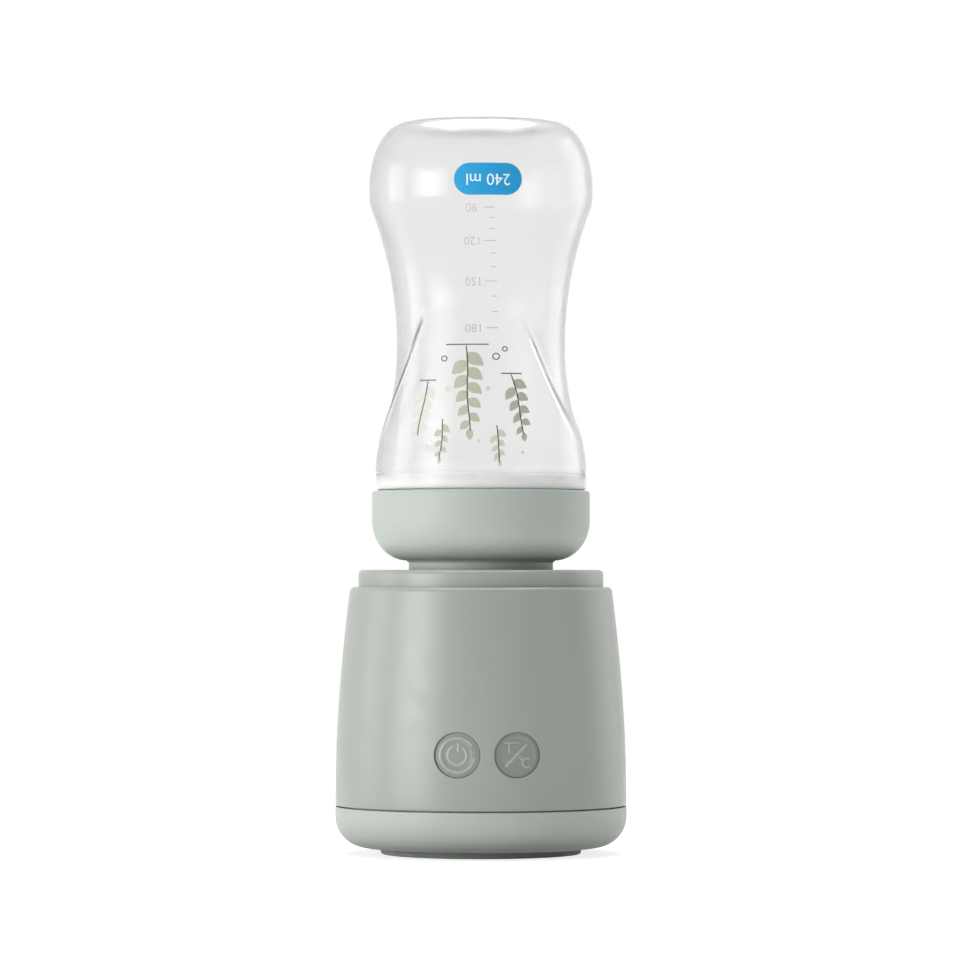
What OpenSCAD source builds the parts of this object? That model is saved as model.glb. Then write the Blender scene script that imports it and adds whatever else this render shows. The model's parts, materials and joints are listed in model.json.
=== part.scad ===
// Portable baby bottle warmer: a round cordless base, a screw-in adapter, and a clear bottle that
// stands upside down in the adapter. Millimetres, +Z up, the buttons face -Y, z = 0 is the table.

/* [Base] */
// Diameter at the seam, the widest place
base_d = 92.5; // [90:0.5:100]
// Diameter of the body shell at its shoulder
shoulder_d = 83; // [82:0.2:88]
// Height of the shoulder above the table
shoulder_z = 84.6; // [82:0.2:100]
// Height of the seam between base cup and body shell
seam_z = 15.3; // [14.6:0.1:18]
// Bow of the side, where 1 is a straight cone
side_bow = 1.9; // [1.2:0.1:2.4]
// Wall of the body shell and of the base cup
wall = 2.2; // [1.8:0.1:2.4]
// Radius of the base cup's bottom edge
bottom_round = 9.8; // [6:0.2:10.2]
// Radius of the shoulder's edge
shoulder_round = 1.2; // [0.6:0.1:1.6]
// Width of the shadow gap at the seam
seam_gap = 0.5; // [0.3:0.1:0.8]

/* [Foot] */
// Outside diameter of the foot ring
foot_d = 63.6; // [50:0.2:64]
// Width of the foot ring
foot_w = 7; // [4:0.5:10]
// Height of the foot ring below the base cup
foot_h = 2.2; // [1.6:0.1:3]
// Depth of the groove that the foot ring sits in
foot_sink = 1; // [0.6:0.1:1.2]

/* [Collar and heating well] */
// Diameter of the collar on the shoulder
collar_d = 77.8; // [76.6:0.2:78]
// Height of the collar above the shoulder
collar_h = 5.4; // [5:0.1:8]
// Depth of the well, from the collar's top to the pan
well_depth = 10.9; // [10.5:0.1:12.5]
// Sheet thickness of the heating pan
pan_t = 0.8; // [0.5:0.1:1.2]
// Depth of the dish pressed into the pan
dish_depth = 2.2; // [1.2:0.1:3]
// Thickness of the heater disc
heater_t = 1.6; // [1:0.1:2.5]
// Thickness of the insulation disc
insulation_t = 2; // [1:0.1:3]

/* [Buttons] */
// Diameter of the holes for the buttons
button_hole_d = 14.2; // [11:0.2:15]
// Distance between the button centres
button_pitch = 18.5; // [17.8:0.1:21]
// Height of the button centres above the table
button_z = 32.8; // [29:0.2:34]
// How far the button faces lie below the body's surface
button_sink = 0.6; // [0.3:0.1:1.2]
// Travel of a button when it is pressed
button_travel = 0.6; // [0.3:0.1:0.8]

/* [Adapter] */
// Diameter of the band around the adapter's cup
adapter_d = 69.2; // [68.4:0.2:74]
// Diameter of the adapter's neck
neck_d = 45.8; // [44:0.2:47]
// Length of neck that shows between collar and bowl
neck_show = 3; // [2:0.1:6]
// Height of the rounded bowl
bowl_h = 12.7; // [11:0.1:15]
// Height of the straight band above the bowl
band_h = 9.4; // [8:0.1:13]
// Lift of the adapter in one turn
adapter_lead = 8; // [7:0.5:10]

/* [Bottle] */
// Length of the bottle from its shoulder to its base
bottle_h = 116.3; // [108:0.1:130]
// Diameter of the barrel next to the adapter
barrel_d = 66.8; // [65:0.2:68]
// Diameter of the waist
waist_d = 53.4; // [50:0.2:58]
// Diameter of the wide end
belly_d = 71; // [68:0.2:74]
// Distance of the waist from the shoulder
waist_at = 45.3; // [42:0.1:50]
// Distance of the wide end from the shoulder
belly_at = 93; // [88:0.1:95]
// Wall of the bottle
bottle_wall = 1.8; // [1.2:0.1:2.2]
// Outside diameter of the bottle's mouth, without its thread
mouth_d = 55.2; // [52:0.2:55.6]
// Lift of the bottle in one turn
bottle_lead = 10; // [9:0.5:12]
// Turn of the bottle's front panel from the buttons, when it is screwed in
bottle_turn = -9.5; // [-30:0.5:30]

/* [Battery and boards] */
// Diameter of a battery cell
cell_d = 18.4; // [17:0.1:18.6]
// Length of a battery cell
cell_len = 65; // [60:0.5:66]
// Thickness of the circuit boards
board_t = 1.6; // [1:0.1:2]

/* [Fits] */
// Gap around pieces that slide or turn in each other
slide_gap = 0.25; // [0.15:0.05:0.35]
// Gap around pieces that are put together once
fit_gap = 0.2; // [0.1:0.05:0.25]
// Height of a thread ridge
thread_h = 1; // [0.8:0.1:1.2]
// Gap between a ridge and the opposite thread's root
thread_gap = 0.35; // [0.3:0.05:0.45]

/* [Hidden] */
$fn = 72;
side_steps = 14;
arc_steps = 8;
eps = 0.01;

// Base: radii and heights
base_r = base_d / 2;
shoulder_r = shoulder_d / 2;
cup_top_z = seam_z - seam_gap / 2;
shell_bottom_z = seam_z + seam_gap / 2;
floor_z = foot_h + wall;
lip_h = 3;
lip_t = 1.4;
lip_r = base_r - wall - fit_gap;
foot_r = foot_d / 2;

// Collar: it stands on the shell's ledge, with a spigot through the ledge's hole
collar_r = collar_d / 2;
collar_top_z = shoulder_z + collar_h;
collar_round = 1;
collar_rim = 3;
ledge_t = 2.4;
spigot_r = collar_r - collar_rim;
spigot_t = 2;
spigot_short = 0.2;
ledge_r = spigot_r + fit_gap;
plate_t = 2.6;
plate_z = collar_top_z - plate_t;

// Well: thread radii, then the stack from the pan down to the clamp's floor
neck_r = neck_d / 2;
well_r = neck_r + thread_h + thread_gap;
well_t = 2.2;
pan_top_z = collar_top_z - well_depth;
pan_gasket_t = 1;
well_bottom_z = pan_top_z + pan_gasket_t;
pan_r = well_r + well_t + 1.4;
clamp_top_z = pan_top_z - pan_t;
dish_bottom_z = clamp_top_z - dish_depth;
insulation_top_z = dish_bottom_z - heater_t;
clamp_floor_z = insulation_top_z - insulation_t;
clamp_t = 1.8;
clamp_floor_t = 1.5;
clamp_bottom_z = clamp_floor_z - clamp_floor_t;
clamp_boss_r = 2.8;
clamp_screw_r = pan_r + 0.4 + clamp_boss_r;

// Adapter gasket, with a lip that holds in the neck
neck_wall = 2.4;
passage_r = neck_r - neck_wall;
gasket_t = 2;
gasket_lip_t = 1.5;
gasket_lip_h = 3;
gasket_in_r = passage_r - slide_gap - gasket_lip_t;
gasket_out_r = neck_r - fit_gap;
dish_top_r = gasket_in_r - 0.5;
dish_r = dish_top_r - 1.4;
insulation_r = dish_top_r + 1.6;
clamp_cup_r = insulation_r + fit_gap;
heater_r = dish_r - 0.6;
sensor_r = 2.2;
sensor_drop = 2;
sensor_bottom_z = clamp_bottom_z - sensor_drop;
fuse_r = 2;
fuse_len = 10;
fuse_x = 0.55 * clamp_cup_r;
fuse_clip_t = 1.2;
fuse_clip_h = 3;

// Adapter
adapter_r = adapter_d / 2;
adapter_bottom_z = pan_top_z + gasket_t;
bowl_z = collar_top_z + neck_show;
band_z = bowl_z + bowl_h;
adapter_top_z = band_z + band_h;
adapter_round = 0.9;
bowl_foot_r = neck_r + 0.5;
mouth_r = mouth_d / 2;
socket_r = mouth_r + thread_h + thread_gap;
socket_depth = 15;
seat_z = adapter_top_z - socket_depth;
sleeve_t = 1.9;
skin_t = 2.2;
seal_t = 2;
seal_lip_t = 1.5;
seal_lip_h = 3;
mouth_z = seat_z + seal_t;
mouth_wall = 2.2;
mouth_in_r = mouth_r - mouth_wall;
seal_in_r = mouth_in_r - slide_gap - seal_lip_t;
seal_out_r = mouth_r - 0.1;
seat_in_r = seal_in_r + 1;

// Bottle
shoulder_gap = 0.6;
bottle_z = adapter_top_z + shoulder_gap;
bottle_top_z = bottle_z + bottle_h;
barrel_r = barrel_d / 2;
waist_r = waist_d / 2;
belly_r = belly_d / 2;
barrel_at = 6.5;
barrel_round = 2.5;
belly_band = 3;
base_flat_r = 24;
base_t = 2.4;
punt_r = 17.5;
punt_depth = 0.8;
lower_share = 0.76;
upper_share = 0.91;
tongue_r = 26.6;
tongue_at = 64;
arch_at = 58;
arch_r = 13.2;
arch_lean = 23.6;

// Buttons: places along Y, from the faces to the button board
button_r = button_hole_d / 2 - slide_gap;
button_x = button_pitch / 2;
flange_r = button_r + 1.2;
flange_t = 1.2;
flange_reach = sqrt(pow(shell_in(button_z + flange_r), 2) - pow(button_x + flange_r, 2));
flange_y = 0.3 - flange_reach;
stem_y = flange_y + flange_t + 0.5;
stem_show = 1;
stem_d = 3.4;
stem_len = 3;
switch_w = 6;
switch_h = 3.5;
button_board_y = stem_y + stem_show + switch_h;
button_board_h = 16;
board_boss_r = 2.6;
board_boss_x = button_x + flange_r + board_boss_r + 0.6;
button_board_w = 2 * (board_boss_x + board_boss_r + 0.4);
light_in_r = 4.9;
light_out_r = 5.7;
light_depth = 1.6;
light_w = 1.6;
light_h = 0.8;
ribbon_w = 10;
ribbon_t = 0.3;
ribbon_rise = 2;

// Battery: cells lie along X, two beside two, in holders on posts of the base cup
cell_r = cell_d / 2;
cell_web = 0.8;
cell_step = cell_d + 2 * fit_gap + cell_web;
post_h = 4;
post_r = 3.4;
pin_r = 1.4;
holder_wall = 1;
holder_z = floor_z + post_h;
cell_low_z = holder_z + holder_wall + cell_step / 2;
cell_high_z = cell_low_z + cell_step;
holder_top_z = cell_high_z + cell_step / 2 + holder_wall;
holder_half_y = cell_step + holder_wall;
socket_len = 4;
link_t = 0.3;
link_w = 12;
holder_end_t = 1.6;
holder_in_x = cell_len / 2 - socket_len;
holder_out_x = cell_len / 2 + link_t + holder_end_t;
holder_x = (holder_in_x + holder_out_x) / 2;
holder_reach = lip_r - lip_t - slide_gap;
link_tab_w = 4;

// Main board and USB socket
board_z = holder_top_z;
board_top_z = board_z + board_t;
board_r = shell_in(board_top_z) - 2.4;
usb_w = 8.9;
usb_h = 3.3;
usb_len = 7.4;
usb_wall = 0.3;
usb_z = board_top_z + usb_h / 2;
usb_face_y = side_r(usb_z) - 0.8;
terminal_w = 8;
terminal_d = 7;
terminal_h = 6;
terminal_at = 0.35 * board_r;
plug_w = 6;
plug_d = 5;
plug_h = 5;
plug_y = -0.1 * board_r;
coil_w = 11;
coil_h = 5;
chip_w = 7;
chip_h = 1.2;
diode_w = 6;
diode_d = 5;
diode_h = 2.2;
capacitor_r = 4;
capacitor_h = 9;
capacitor_x = board_r - 3.3 * capacitor_r;
lead_r = 0.9;
lead_at = 0.55 * heater_r;

// Screws: base screws from below, the rest from inside
screw_r = 1.3;
head_r = 2.5;
head_h = 1.9;
small_screw_r = 1;
small_head_r = 1.8;
small_head_h = 1.3;
pilot_gap = 0.05;
base_screw_at = foot_r + head_r + 0.9;
base_screw_angle = 52;
base_head_rise = 4;
base_head_z = foot_h + base_head_rise;
base_column_h = 5;
base_split_z = base_head_z + base_column_h;
base_boss_r = 3.4;
base_boss_h = 10;
base_boss_top_z = base_split_z + base_boss_h;
base_screw_len = 12;
rib_t = 2.4;
collar_screw_at = (ledge_r + collar_r) / 2;
collar_screw_bite = 3.2;
clamp_screw_len = 6;
button_screw_bite = 3.5;
hole_spare = 0.5;

// Corner holes of the cell holders, for pins below and board screws above: inside the board's edge,
// and no deeper than the cells leave room for
holder_hole_edge = 3;
board_hole_edge = 2.4;
holder_hole_reach = sqrt(max(0, pow(board_r - board_hole_edge, 2) - pow(holder_x, 2)));
holder_hole_y = min(holder_half_y - holder_hole_edge, holder_hole_reach);
pin_full_h = 2.6;
pin_h = min(pin_full_h, hole_room(pin_r));
board_screw_full_bite = 4;
board_screw_bite = min(board_screw_full_bite, hole_room(small_screw_r));

// Threads: two starts each, half a pitch between the ridges that run past each other
thread_turns = 0.55;
thread_segments = 20;
thread_root_w = 1.5;
thread_tip_w = 0.8;
thread_sink = 0.5;
neck_thread_z = adapter_bottom_z + 1.3;
mouth_thread_z = mouth_z + 2.4;

// Outside radius of the body at a height, and the inside of its wall
function side_r(z) =
  base_r - (base_r - shoulder_r) * pow(max(0, z - seam_z) / (shoulder_z - seam_z), side_bow);
function shell_in(z) = side_r(z) - wall;

// Depth of a holder above a cell, at a corner hole of radius r
function hole_room(r) =
  let (across = min(cell_r, abs(holder_hole_y - r - cell_step / 2)))
  cell_step / 2 + holder_wall - sqrt(cell_r * cell_r - across * across) - slide_gap;

// Points of an arc about c
function arc(c, r, from, to, n = arc_steps) =
  [for (i = [0:n]) let (a = from + (to - from) * i / n) c + r * [cos(a), sin(a)]];

// Two arcs that meet smoothly, upright at both ends; share is the first arc's part of the radius
function s_curve(p, q, share, n = 12) =
  let (d = q - p, s = sign(d[0]), total = (d[1] * d[1] + d[0] * d[0]) / (2 * abs(d[0])))
  let (up = sign(d[1]), r0 = share * total, r1 = total - r0, swing = asin(abs(d[1]) / total))
  concat(
    [for (i = [0:n]) let (a = swing * i / n) p + [s * r0 * (1 - cos(a)), up * r0 * sin(a)]],
    [for (i = [1:n]) let (a = swing * (1 - i / n)) q - [s * r1 * (1 - cos(a)), up * r1 * sin(a)]]
  );

// A ridge that winds up with the lead, its root sunk into the wall and its ends faded out
module helix_ridge(root, tip, z, lead, start) {
  side = sign(tip - root);
  inner = root - side * thread_sink;
  n = thread_segments;
  points = [
    for (i = [0:n])
      let (a = start + 360 * thread_turns * i / n, h = z + lead * thread_turns * i / n)
      let (fade = min(1, 0.25 + 0.375 * min(i, n - i)), r = root + (tip - root) * fade)
      for (p = [[inner, -thread_root_w / 2], [r, -thread_tip_w / 2],
                [r, thread_tip_w / 2], [inner, thread_root_w / 2]])
        [p[0] * cos(a), p[0] * sin(a), h + p[1]]
  ];
  sides = [
    for (i = [0:n - 1], j = [0:3])
      let (k = (j + 1) % 4, a = 4 * i + j, b = 4 * i + k, c = a + 4, d = b + 4)
      each [[a, b, c], [b, d, c]]
  ];
  ends = [[0, 2, 1], [0, 3, 2], [4 * n, 4 * n + 1, 4 * n + 2], [4 * n, 4 * n + 2, 4 * n + 3]];
  faces = concat(sides, ends);
  polyhedron(points, side < 0 ? [for (f = faces) [f[0], f[2], f[1]]] : faces);
}

module double_thread(root, tip, z, lead, turn = 0) {
  for (start = [0, 180]) helix_ridge(root, tip, z, lead, start + turn);
}

// A copy at each of four places around the axis
module four_around(at, first) {
  for (i = [0:3]) rotate([0, 0, first + 90 * i]) translate([at, 0, 0]) children();
}

// The base screws stand beside the cells, so their places are mirrored and not evenly spaced
module base_screw_places() {
  for (sx = [0, 1], sy = [0, 1])
    mirror([sx, 0, 0]) mirror([0, sy, 0]) rotate([0, 0, base_screw_angle])
      translate([base_screw_at, 0, 0]) children();
}

// Both ends of the battery, in X, with holes at plus and minus Y
module holder_hole_places(sides = [-1, 1]) {
  for (sx = sides, sy = [-1, 1]) translate([sx * holder_x, sy * holder_hole_y, 0]) children();
}

// Something made along +Z, laid along +Y from a point on the front
module along_y(x, y, z) {
  translate([x, y, z]) rotate([-90, 0, 0]) children();
}

module screw(r, len, cap_r, cap_h) {
  translate([0, 0, -cap_h]) difference() {
    cylinder(r = cap_r, h = cap_h);
    for (a = [0, 90]) rotate([0, 0, a]) translate([-r, -0.3, -eps]) cube([2 * r, 0.6, cap_h / 2]);
  }
  translate([0, 0, -eps]) cylinder(r = r, h = len + eps);
}

module tube(outer, inner, h) {
  difference() {
    cylinder(r = outer, h = h);
    translate([0, 0, -1]) cylinder(r = inner, h = h + 2);
  }
}

module stadium(w, h) {
  square([w - h, h], center = true);
  for (s = [-1, 1]) translate([s * (w - h) / 2, 0]) circle(d = h);
}

// Wire of straight runs with corners a little fuller than the wire
module wire(path, r) {
  for (i = [0:len(path) - 2]) {
    d = path[i + 1] - path[i];
    translate(path[i]) rotate([0, acos(d[2] / norm(d)), atan2(d[1], d[0])])
      cylinder(r = r, h = norm(d));
  }
  for (i = [1:len(path) - 2]) translate(path[i]) sphere(r = 1.1 * r);
}

// Solid of the body's outside, taken in by an inset, between two heights
module body_core(inset, low, high) {
  rotate_extrude() polygon(concat(
    [[0, low]],
    [for (i = [0:side_steps]) let (z = low + (high - low) * i / side_steps) [side_r(z) - inset, z]],
    [[0, high]]
  ));
}

module shell_wall() {
  edge_z = shoulder_z - shoulder_round;
  edge_r = side_r(edge_z) - shoulder_round;
  ceiling_z = shoulder_z - ledge_t;
  rotate_extrude() polygon(concat(
    [for (i = [0:side_steps])
      let (z = shell_bottom_z + (edge_z - shell_bottom_z) * i / side_steps) [side_r(z), z]],
    arc([edge_r, edge_z], shoulder_round, 10, 90),
    [[ledge_r, shoulder_z], [ledge_r, ceiling_z]],
    [for (i = [0:side_steps])
      let (z = ceiling_z + (shell_bottom_z - ceiling_z) * i / side_steps) [shell_in(z), z]]
  ));
}

// Screw bosses for the base and for the button board, held to the wall by ribs
module shell_bosses() {
  intersection() {
    union() {
      base_screw_places() {
        translate([0, 0, base_split_z]) cylinder(r = base_boss_r, h = base_boss_h);
        translate([0, -rib_t / 2, shell_bottom_z + lip_h + 1])
          cube([base_r - base_screw_at, rib_t, base_boss_top_z - shell_bottom_z - lip_h - 1]);
      }
      for (s = [-1, 1]) along_y(s * board_boss_x, -base_r, button_z)
        cylinder(r = board_boss_r, h = base_r + button_board_y);
    }
    body_core(wall / 2, base_split_z, shoulder_z - ledge_t);
  }
}

module body_shell() {
  color([0.69, 0.71, 0.68]) difference() {
    union() {
      shell_wall();
      shell_bosses();
    }
    for (s = [-1, 1]) along_y(s * button_x, -base_r - 1, button_z)
      cylinder(d = button_hole_d, h = base_r + 1 + flange_y);
    along_y(0, base_r - usb_len, usb_z) linear_extrude(usb_len + 1)
      stadium(usb_w + 2 * slide_gap, usb_h + 2 * slide_gap);
    base_screw_places() translate([0, 0, base_split_z - 1])
      cylinder(r = screw_r + pilot_gap, h = base_screw_len);
    for (s = [-1, 1]) along_y(s * board_boss_x, button_board_y - button_screw_bite - hole_spare, button_z)
      cylinder(r = small_screw_r + pilot_gap, h = button_screw_bite + hole_spare + 1);
    four_around(collar_screw_at, 45) translate([0, 0, shoulder_z - ledge_t - 1])
      cylinder(r = small_screw_r + fit_gap, h = ledge_t + 2);
  }
}

module base_cup() {
  in_r = lip_r - lip_t;
  in_round = bottom_round - wall - lip_t;
  color([0.69, 0.71, 0.68]) difference() {
    union() {
      rotate_extrude() polygon(concat(
        [[0, foot_h]],
        arc([base_r - bottom_round, foot_h + bottom_round], bottom_round, -90, 0),
        [[base_r, cup_top_z], [lip_r, cup_top_z], [lip_r, cup_top_z + lip_h], [in_r, cup_top_z + lip_h]],
        arc([in_r - in_round, floor_z + in_round], in_round, 0, -90),
        [[0, floor_z]]
      ));
      base_screw_places() translate([0, 0, floor_z - eps])
        cylinder(r = head_r + 1.4, h = base_split_z - floor_z + eps);
      holder_hole_places() {
        translate([0, 0, floor_z - eps]) cylinder(r = post_r, h = post_h + eps);
        translate([0, 0, floor_z]) cylinder(r = pin_r, h = post_h + pin_h);
      }
    }
    translate([0, 0, foot_h - 1]) tube(foot_r + fit_gap / 2, foot_r - foot_w - fit_gap / 2, foot_sink + 1);
    base_screw_places() {
      translate([0, 0, foot_h - 1]) cylinder(r = head_r + fit_gap, h = base_head_z - foot_h + 1);
      cylinder(r = screw_r + fit_gap, h = base_split_z + 1);
    }
  }
}

module foot_ring() {
  edge = 0.5;
  color([0.45, 0.46, 0.45]) rotate_extrude() polygon([
    [foot_r - foot_w + edge, 0], [foot_r - edge, 0], [foot_r, edge], [foot_r, foot_h + foot_sink],
    [foot_r - foot_w, foot_h + foot_sink], [foot_r - foot_w, edge]
  ]);
}

module top_collar() {
  spigot_z = shoulder_z - ledge_t + spigot_short;
  color([0.67, 0.69, 0.66]) difference() {
    union() {
      rotate_extrude() polygon(concat(
        [[well_r, well_bottom_z], [well_r + well_t, well_bottom_z], [well_r + well_t, plate_z],
         [spigot_r - spigot_t, plate_z], [spigot_r - spigot_t, spigot_z], [spigot_r, spigot_z],
         [spigot_r, shoulder_z], [collar_r, shoulder_z]],
        arc([collar_r - collar_round, collar_top_z - collar_round], collar_round, 0, 90),
        [[well_r + 0.6, collar_top_z], [well_r, collar_top_z - 0.6]]
      ));
      four_around(clamp_screw_r, 0) translate([0, 0, clamp_top_z])
        cylinder(r = clamp_boss_r, h = plate_z - clamp_top_z + 1);
      double_thread(well_r, neck_r + thread_gap, neck_thread_z + adapter_lead / 4, adapter_lead);
    }
    four_around(clamp_screw_r, 0) translate([0, 0, clamp_top_z - 1])
      cylinder(r = small_screw_r + pilot_gap, h = clamp_screw_len - clamp_t + hole_spare + 1);
    four_around(collar_screw_at, 45) translate([0, 0, shoulder_z - 1])
      cylinder(r = small_screw_r + pilot_gap, h = collar_screw_bite + hole_spare + 1);
  }
}

module heating_pan() {
  color([0.75, 0.76, 0.77]) rotate_extrude() polygon([
    [0, dish_bottom_z], [dish_r + 0.2, dish_bottom_z], [dish_top_r + 0.4, clamp_top_z],
    [pan_r, clamp_top_z], [pan_r, pan_top_z], [dish_top_r, pan_top_z],
    [dish_r - 0.2, dish_bottom_z + pan_t], [0, dish_bottom_z + pan_t]
  ]);
}

module pan_gasket() {
  color([0.85, 0.84, 0.80]) translate([0, 0, pan_top_z]) tube(well_r + well_t, well_r, pan_gasket_t);
}

module heater_disc() {
  color([0.55, 0.30, 0.18]) translate([0, 0, insulation_top_z])
    tube(heater_r, sensor_r + fit_gap, heater_t);
}

// Places of the two heater leads
module lead_places() {
  for (s = [-1, 1]) translate([s * lead_at, lead_at, 0]) children();
}

module insulation_disc() {
  color([0.90, 0.89, 0.85]) difference() {
    translate([0, 0, clamp_floor_z]) tube(insulation_r, sensor_r + fit_gap, insulation_t);
    lead_places() translate([0, 0, clamp_floor_z - 1])
      cylinder(r = lead_r + slide_gap, h = insulation_t + 2);
  }
}

module pan_clamp() {
  flange_z = clamp_top_z - clamp_t;
  fuse_half = fuse_r + fit_gap;
  color([0.25, 0.25, 0.26]) difference() {
    union() {
      rotate_extrude() polygon([
        [0, clamp_bottom_z], [clamp_cup_r + 1.5, clamp_bottom_z], [clamp_cup_r + 1.5, flange_z],
        [clamp_screw_r + clamp_boss_r, flange_z], [clamp_screw_r + clamp_boss_r, clamp_top_z],
        [clamp_cup_r, clamp_top_z], [clamp_cup_r, clamp_floor_z], [0, clamp_floor_z]
      ]);
      for (s = [-1, 1])
        translate([fuse_x + s * (fuse_half + fuse_clip_t / 2), 0, clamp_bottom_z - fuse_clip_h / 2])
          cube([fuse_clip_t, 2 * fuse_len / 3, fuse_clip_h + eps], center = true);
    }
    translate([0, 0, clamp_bottom_z - 1]) cylinder(r = sensor_r + fit_gap, h = clamp_floor_t + 2);
    lead_places() translate([0, 0, clamp_bottom_z - 1])
      cylinder(r = lead_r + slide_gap, h = clamp_floor_t + 2);
    four_around(clamp_screw_r, 0) translate([0, 0, flange_z - 1])
      cylinder(r = small_screw_r + fit_gap, h = clamp_t + 2);
  }
}

module thermal_fuse() {
  color([0.80, 0.78, 0.72]) along_y(fuse_x, -fuse_len / 2, clamp_bottom_z - fuse_r)
    cylinder(r = fuse_r, h = fuse_len);
}

module clamp_screws() {
  color([0.70, 0.71, 0.72]) four_around(clamp_screw_r, 0) translate([0, 0, clamp_top_z - clamp_t])
    screw(small_screw_r, clamp_screw_len, small_head_r, small_head_h);
}

module collar_screws() {
  color([0.70, 0.71, 0.72]) four_around(collar_screw_at, 45) translate([0, 0, shoulder_z - ledge_t])
    screw(small_screw_r, ledge_t + collar_screw_bite, small_head_r, small_head_h);
}

module base_screws() {
  color([0.70, 0.71, 0.72]) base_screw_places() translate([0, 0, base_head_z])
    screw(screw_r, base_screw_len, head_r, head_h);
}

module temperature_sensor() {
  color([0.30, 0.25, 0.22]) translate([0, 0, sensor_bottom_z])
    cylinder(r = sensor_r, h = dish_bottom_z - sensor_bottom_z);
}

module sensor_lead() {
  end_z = board_top_z + plug_h;
  drop = sensor_bottom_z - end_z;
  color([0.85, 0.85, 0.82]) wire([
    [0, 0, sensor_bottom_z], [0, 0, sensor_bottom_z - drop / 3],
    [0, plug_y, end_z + drop / 3], [0, plug_y, end_z]
  ], lead_r);
}

module heater_leads() {
  end_z = board_top_z + terminal_h;
  drop = clamp_bottom_z - end_z;
  color([0.80, 0.12, 0.10]) for (s = [-1, 1]) wire([
    [s * lead_at, lead_at, insulation_top_z], [s * lead_at, lead_at, clamp_bottom_z - drop / 3],
    [s * terminal_at, terminal_at, end_z + drop / 3], [s * terminal_at, terminal_at, end_z]
  ], lead_r);
}

// Centres of the cells, across Y and Z
module cell_places() {
  for (y = [-cell_step / 2, cell_step / 2], z = [cell_low_z, cell_high_z])
    translate([0, y, z]) children();
}

module battery_cells() {
  color([0.25, 0.55, 0.65]) cell_places() rotate([0, 90, 0])
    cylinder(r = cell_r, h = cell_len, center = true);
}

module cell_holder(side) {
  difference() {
    intersection() {
      translate([side > 0 ? holder_in_x : -holder_out_x, -holder_half_y, holder_z])
        cube([holder_out_x - holder_in_x, 2 * holder_half_y, holder_top_z - holder_z]);
      translate([0, 0, holder_z - 1]) cylinder(r = holder_reach, h = holder_top_z - holder_z + 2);
    }
    cell_places() rotate([0, 90, 0]) cylinder(r = cell_r + fit_gap, h = cell_len, center = true);
    cell_link(side, fit_gap);
    holder_hole_places([side]) {
      translate([0, 0, holder_z - 1]) cylinder(r = pin_r + fit_gap, h = pin_h + 1.4);
      translate([0, 0, holder_top_z - board_screw_bite - hole_spare])
        cylinder(r = small_screw_r + pilot_gap, h = board_screw_bite + hole_spare + 1);
    }
  }
}

module left_cell_holder() {
  color([0.15, 0.15, 0.16]) cell_holder(-1);
}

module right_cell_holder() {
  color([0.15, 0.15, 0.16]) cell_holder(1);
}

// Welded strips over the cell ends, with tabs up to the board: two on the right, and on the left
// the same two joined by cross strips, so the cells work as two pairs in a row
module cell_link(side, gap = 0) {
  x = side > 0 ? cell_len / 2 : -cell_len / 2 - link_t;
  w = link_w + 2 * gap;
  for (y = [-cell_step / 2, cell_step / 2]) {
    translate([x, y - w / 2, cell_low_z - w / 2]) cube([link_t, w, cell_step + w]);
    translate([x, y - link_tab_w / 2 - gap, cell_high_z])
      cube([link_t, link_tab_w + 2 * gap, holder_top_z - cell_high_z]);
  }
  if (side < 0) for (z = [cell_low_z, cell_high_z])
    translate([x, -cell_step / 2, z - w / 2]) cube([link_t, cell_step, w]);
}

module cell_links() {
  color([0.78, 0.77, 0.72]) {
    cell_link(-1);
    cell_link(1);
  }
}

module main_board() {
  color([0.10, 0.35, 0.18]) translate([0, 0, board_z]) difference() {
    cylinder(r = board_r, h = board_t);
    holder_hole_places() translate([0, 0, -1]) cylinder(r = small_screw_r + fit_gap, h = board_t + 2);
  }
}

module board_parts() {
  color([0.12, 0.12, 0.13]) translate([0, 0, board_top_z]) {
    for (s = [-1, 1]) translate([s * terminal_at, terminal_at, terminal_h / 2])
      cube([terminal_w, terminal_d, terminal_h], center = true);
    translate([0, plug_y, plug_h / 2]) cube([plug_w, plug_d, plug_h], center = true);
    translate([-board_r / 2, -1.5 * coil_w, 0]) cube([coil_w, coil_w, coil_h]);
    translate([chip_w, -2.6 * chip_w, 0]) cube([chip_w, chip_w, chip_h]);
    translate([-chip_w / 2, usb_face_y - 3 * usb_len, 0]) cube([chip_w, diode_d, chip_h]);
    for (y = [-1.6 * diode_d, 0]) translate([-0.75 * board_r, y, 0]) cube([diode_w, diode_d, diode_h]);
    for (x = [capacitor_x - 2.3 * capacitor_r, capacitor_x])
      translate([x, -2 * capacitor_r, 0]) cylinder(r = capacitor_r, h = capacitor_h);
  }
}

module board_screws() {
  color([0.70, 0.71, 0.72]) holder_hole_places() translate([0, 0, board_top_z]) rotate([180, 0, 0])
    screw(small_screw_r, board_t + board_screw_bite, small_head_r, small_head_h);
}

module usb_socket() {
  color([0.72, 0.73, 0.74]) along_y(0, usb_face_y - usb_len, usb_z) {
    difference() {
      linear_extrude(usb_len) stadium(usb_w, usb_h);
      translate([0, 0, 1]) linear_extrude(usb_len) stadium(usb_w - 2 * usb_wall, usb_h - 2 * usb_wall);
    }
    translate([0, 0, usb_len / 2]) cube([usb_w - 2.6, 0.7, usb_len - 1], center = true);
  }
}

module button_board() {
  color([0.10, 0.35, 0.18]) difference() {
    translate([-button_board_w / 2, button_board_y, button_z - button_board_h / 2])
      cube([button_board_w, board_t, button_board_h]);
    for (s = [-1, 1]) along_y(s * board_boss_x, button_board_y - 1, button_z)
      cylinder(r = small_screw_r + fit_gap, h = board_t + 2);
  }
}

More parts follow.
